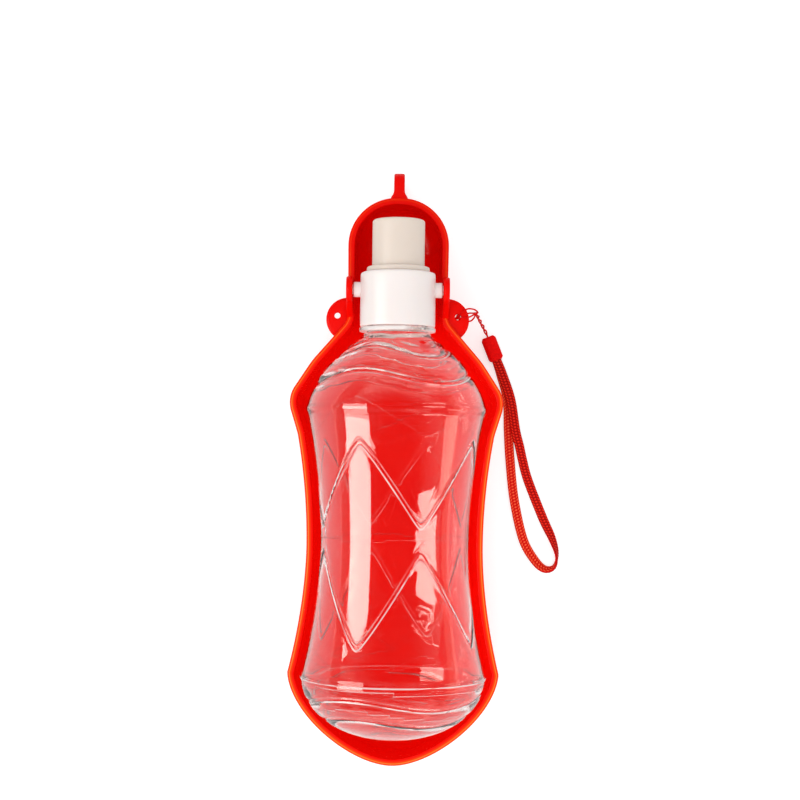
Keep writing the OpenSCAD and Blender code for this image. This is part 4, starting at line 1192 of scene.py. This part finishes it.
# %% [markdown]
# ## Studio
# The photograph is lit evenly, on white. A large light high over the foot's left side, the key, and
# a white world give its even light and the soft shadow. What the bottle mirrors is set apart from
# that. It sees a dark ceiling, so its middle stays deep red, and a brighter horizon. A strip at the
# left is mirrored by the front wall and again by the inside of the back wall, so it draws a long
# stripe on each side, and a weaker strip stands at the right. Both only show in reflections, so they
# can be as bright as the stripes need. A wall beyond the foot and one at the right lighten the edges.

# %% Light
world = bpy.data.worlds.new("studio")
bpy.context.scene.world = world
world.use_nodes = True
tree = world.node_tree
ray = tree.nodes.new("ShaderNodeLightPath").outputs
way_up = split(tree, tree.nodes.new("ShaderNodeTexCoord").outputs["Generated"])[2]
mirrored = calc(tree, "MAXIMUM", ray["Is Glossy Ray"], ray["Is Transmission Ray"])
low_sky = between(tree, ray["Is Transmission Ray"], 0.25, 0.9)
horizon = remap(tree, way_up, -0.01, 0.04, 0.8, 0)
ceiling = calc(tree, "ADD", horizon, remap(tree, way_up, 0, 0.8, low_sky, 0.015))
fill(tree, tree.nodes["Background"], {
    "Color": blended(tree, mirrored, (1, 1, 1, 1), (1.0, 0.93, 0.85, 1)),
    "Strength": between(tree, ray["Is Camera Ray"], between(tree, mirrored, 0.88, ceiling), 1)})


def soft_light(name, place, aim, size, radiance, colour, lights=True, reflects=True):
    """A rectangular light of a radiance, at a place and aimed at another, both in mm."""
    data = bpy.data.lights.new(name, "AREA")
    data.shape = "RECTANGLE"
    data.size, data.size_y = size[0] * MM, size[1] * MM
    data.energy = radiance * math.pi * data.size * data.size_y
    data.color = colour
    lamp = bpy.data.objects.new(name, data)
    bpy.context.scene.collection.objects.link(lamp)
    from_point, to_point = to_frame(place), to_frame(aim)
    z = unit(from_point - to_point)
    x = unit(np.cross([0, 1.0, 0], z))
    turn = np.column_stack([x, np.cross(z, x), z])
    lamp.matrix_world = Matrix([[*turn[row], from_point[row]] for row in range(3)] + [[0, 0, 0, 1]])
    lamp.visible_diffuse = lights
    lamp.visible_glossy = lamp.visible_transmission = reflects
    lamp.visible_camera = False


middle = (0, 80, pivot_z)
soft_light("key", (-350, 500, 1200), middle, (1300, 1300), 1.24, (1, 0.97, 0.93), reflects=False)
soft_light("left strip", (-728, 185, 570), middle, (560, 490), 8.2, (1, 0.95, 0.87), lights=False)
soft_light("right strip", (930, 330, 230), middle, (330, 190), 2.4, (1, 0.84, 0.7), lights=False)
soft_light("foot wall", (0, 1000, 260), middle, (1500, 480), 0.8, (1, 0.92, 0.84))
soft_light("right wall", (980, 100, 60), middle, (440, 1300), 0.35, (1, 0.8, 0.62), lights=False)
print(len(bpy.data.lights), "lights")

# %% [markdown]
# The floor is plain white paper. A little light of its own makes it as white to the camera as the
# photograph's background, and it keeps the soft shadow under the object. What the bottle mirrors
# or bends of the paper gets less than half as much.

# %% Floor
floor_half, floor_top, floor_under = 1500, -0.02, -1
floor_corners = floor_half * np.array([[-1, -1], [1, -1], [1, 1], [-1, 1]])
floor = surface("floor", np.stack([np.column_stack([floor_corners, np.full(4, height)])
                                   for height in (floor_under, floor_top)]))
floor.data.polygons.foreach_set("use_smooth", np.zeros(len(floor.data.polygons), bool))
paper, tree, shader, place = material("white paper")
ray = tree.nodes.new("ShaderNodeLightPath").outputs
mirrored = calc(tree, "MAXIMUM", ray["Is Glossy Ray"], ray["Is Transmission Ray"])
fill(tree, shader, {
    "Base Color": blended(tree, noise(tree, place, 400, 4), (0.6, 0.6, 0.6, 1), (0.62, 0.62, 0.62, 1)),
    "Roughness": 0.9, "Specular IOR Level": 0.1, "Emission Color": (1, 1, 1, 1),
    "Emission Strength": calc(tree, "ADD", calc(tree, "MULTIPLY", ray["Is Camera Ray"], 0.6),
                              calc(tree, "MULTIPLY", mirrored, 0.25))})
floor.data.materials.append(paper)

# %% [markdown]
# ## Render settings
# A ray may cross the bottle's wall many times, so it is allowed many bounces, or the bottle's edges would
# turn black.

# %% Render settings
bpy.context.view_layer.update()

scene = bpy.context.scene
scene.view_settings.view_transform = "Standard"
scene.cycles.use_denoising = True
for bounces, most in (("max_bounces", 32), ("transmission_bounces", 24), ("transparent_max_bounces", 24),
                      ("diffuse_bounces", 5), ("glossy_bounces", 20)):
    setattr(scene.cycles, bounces, most)
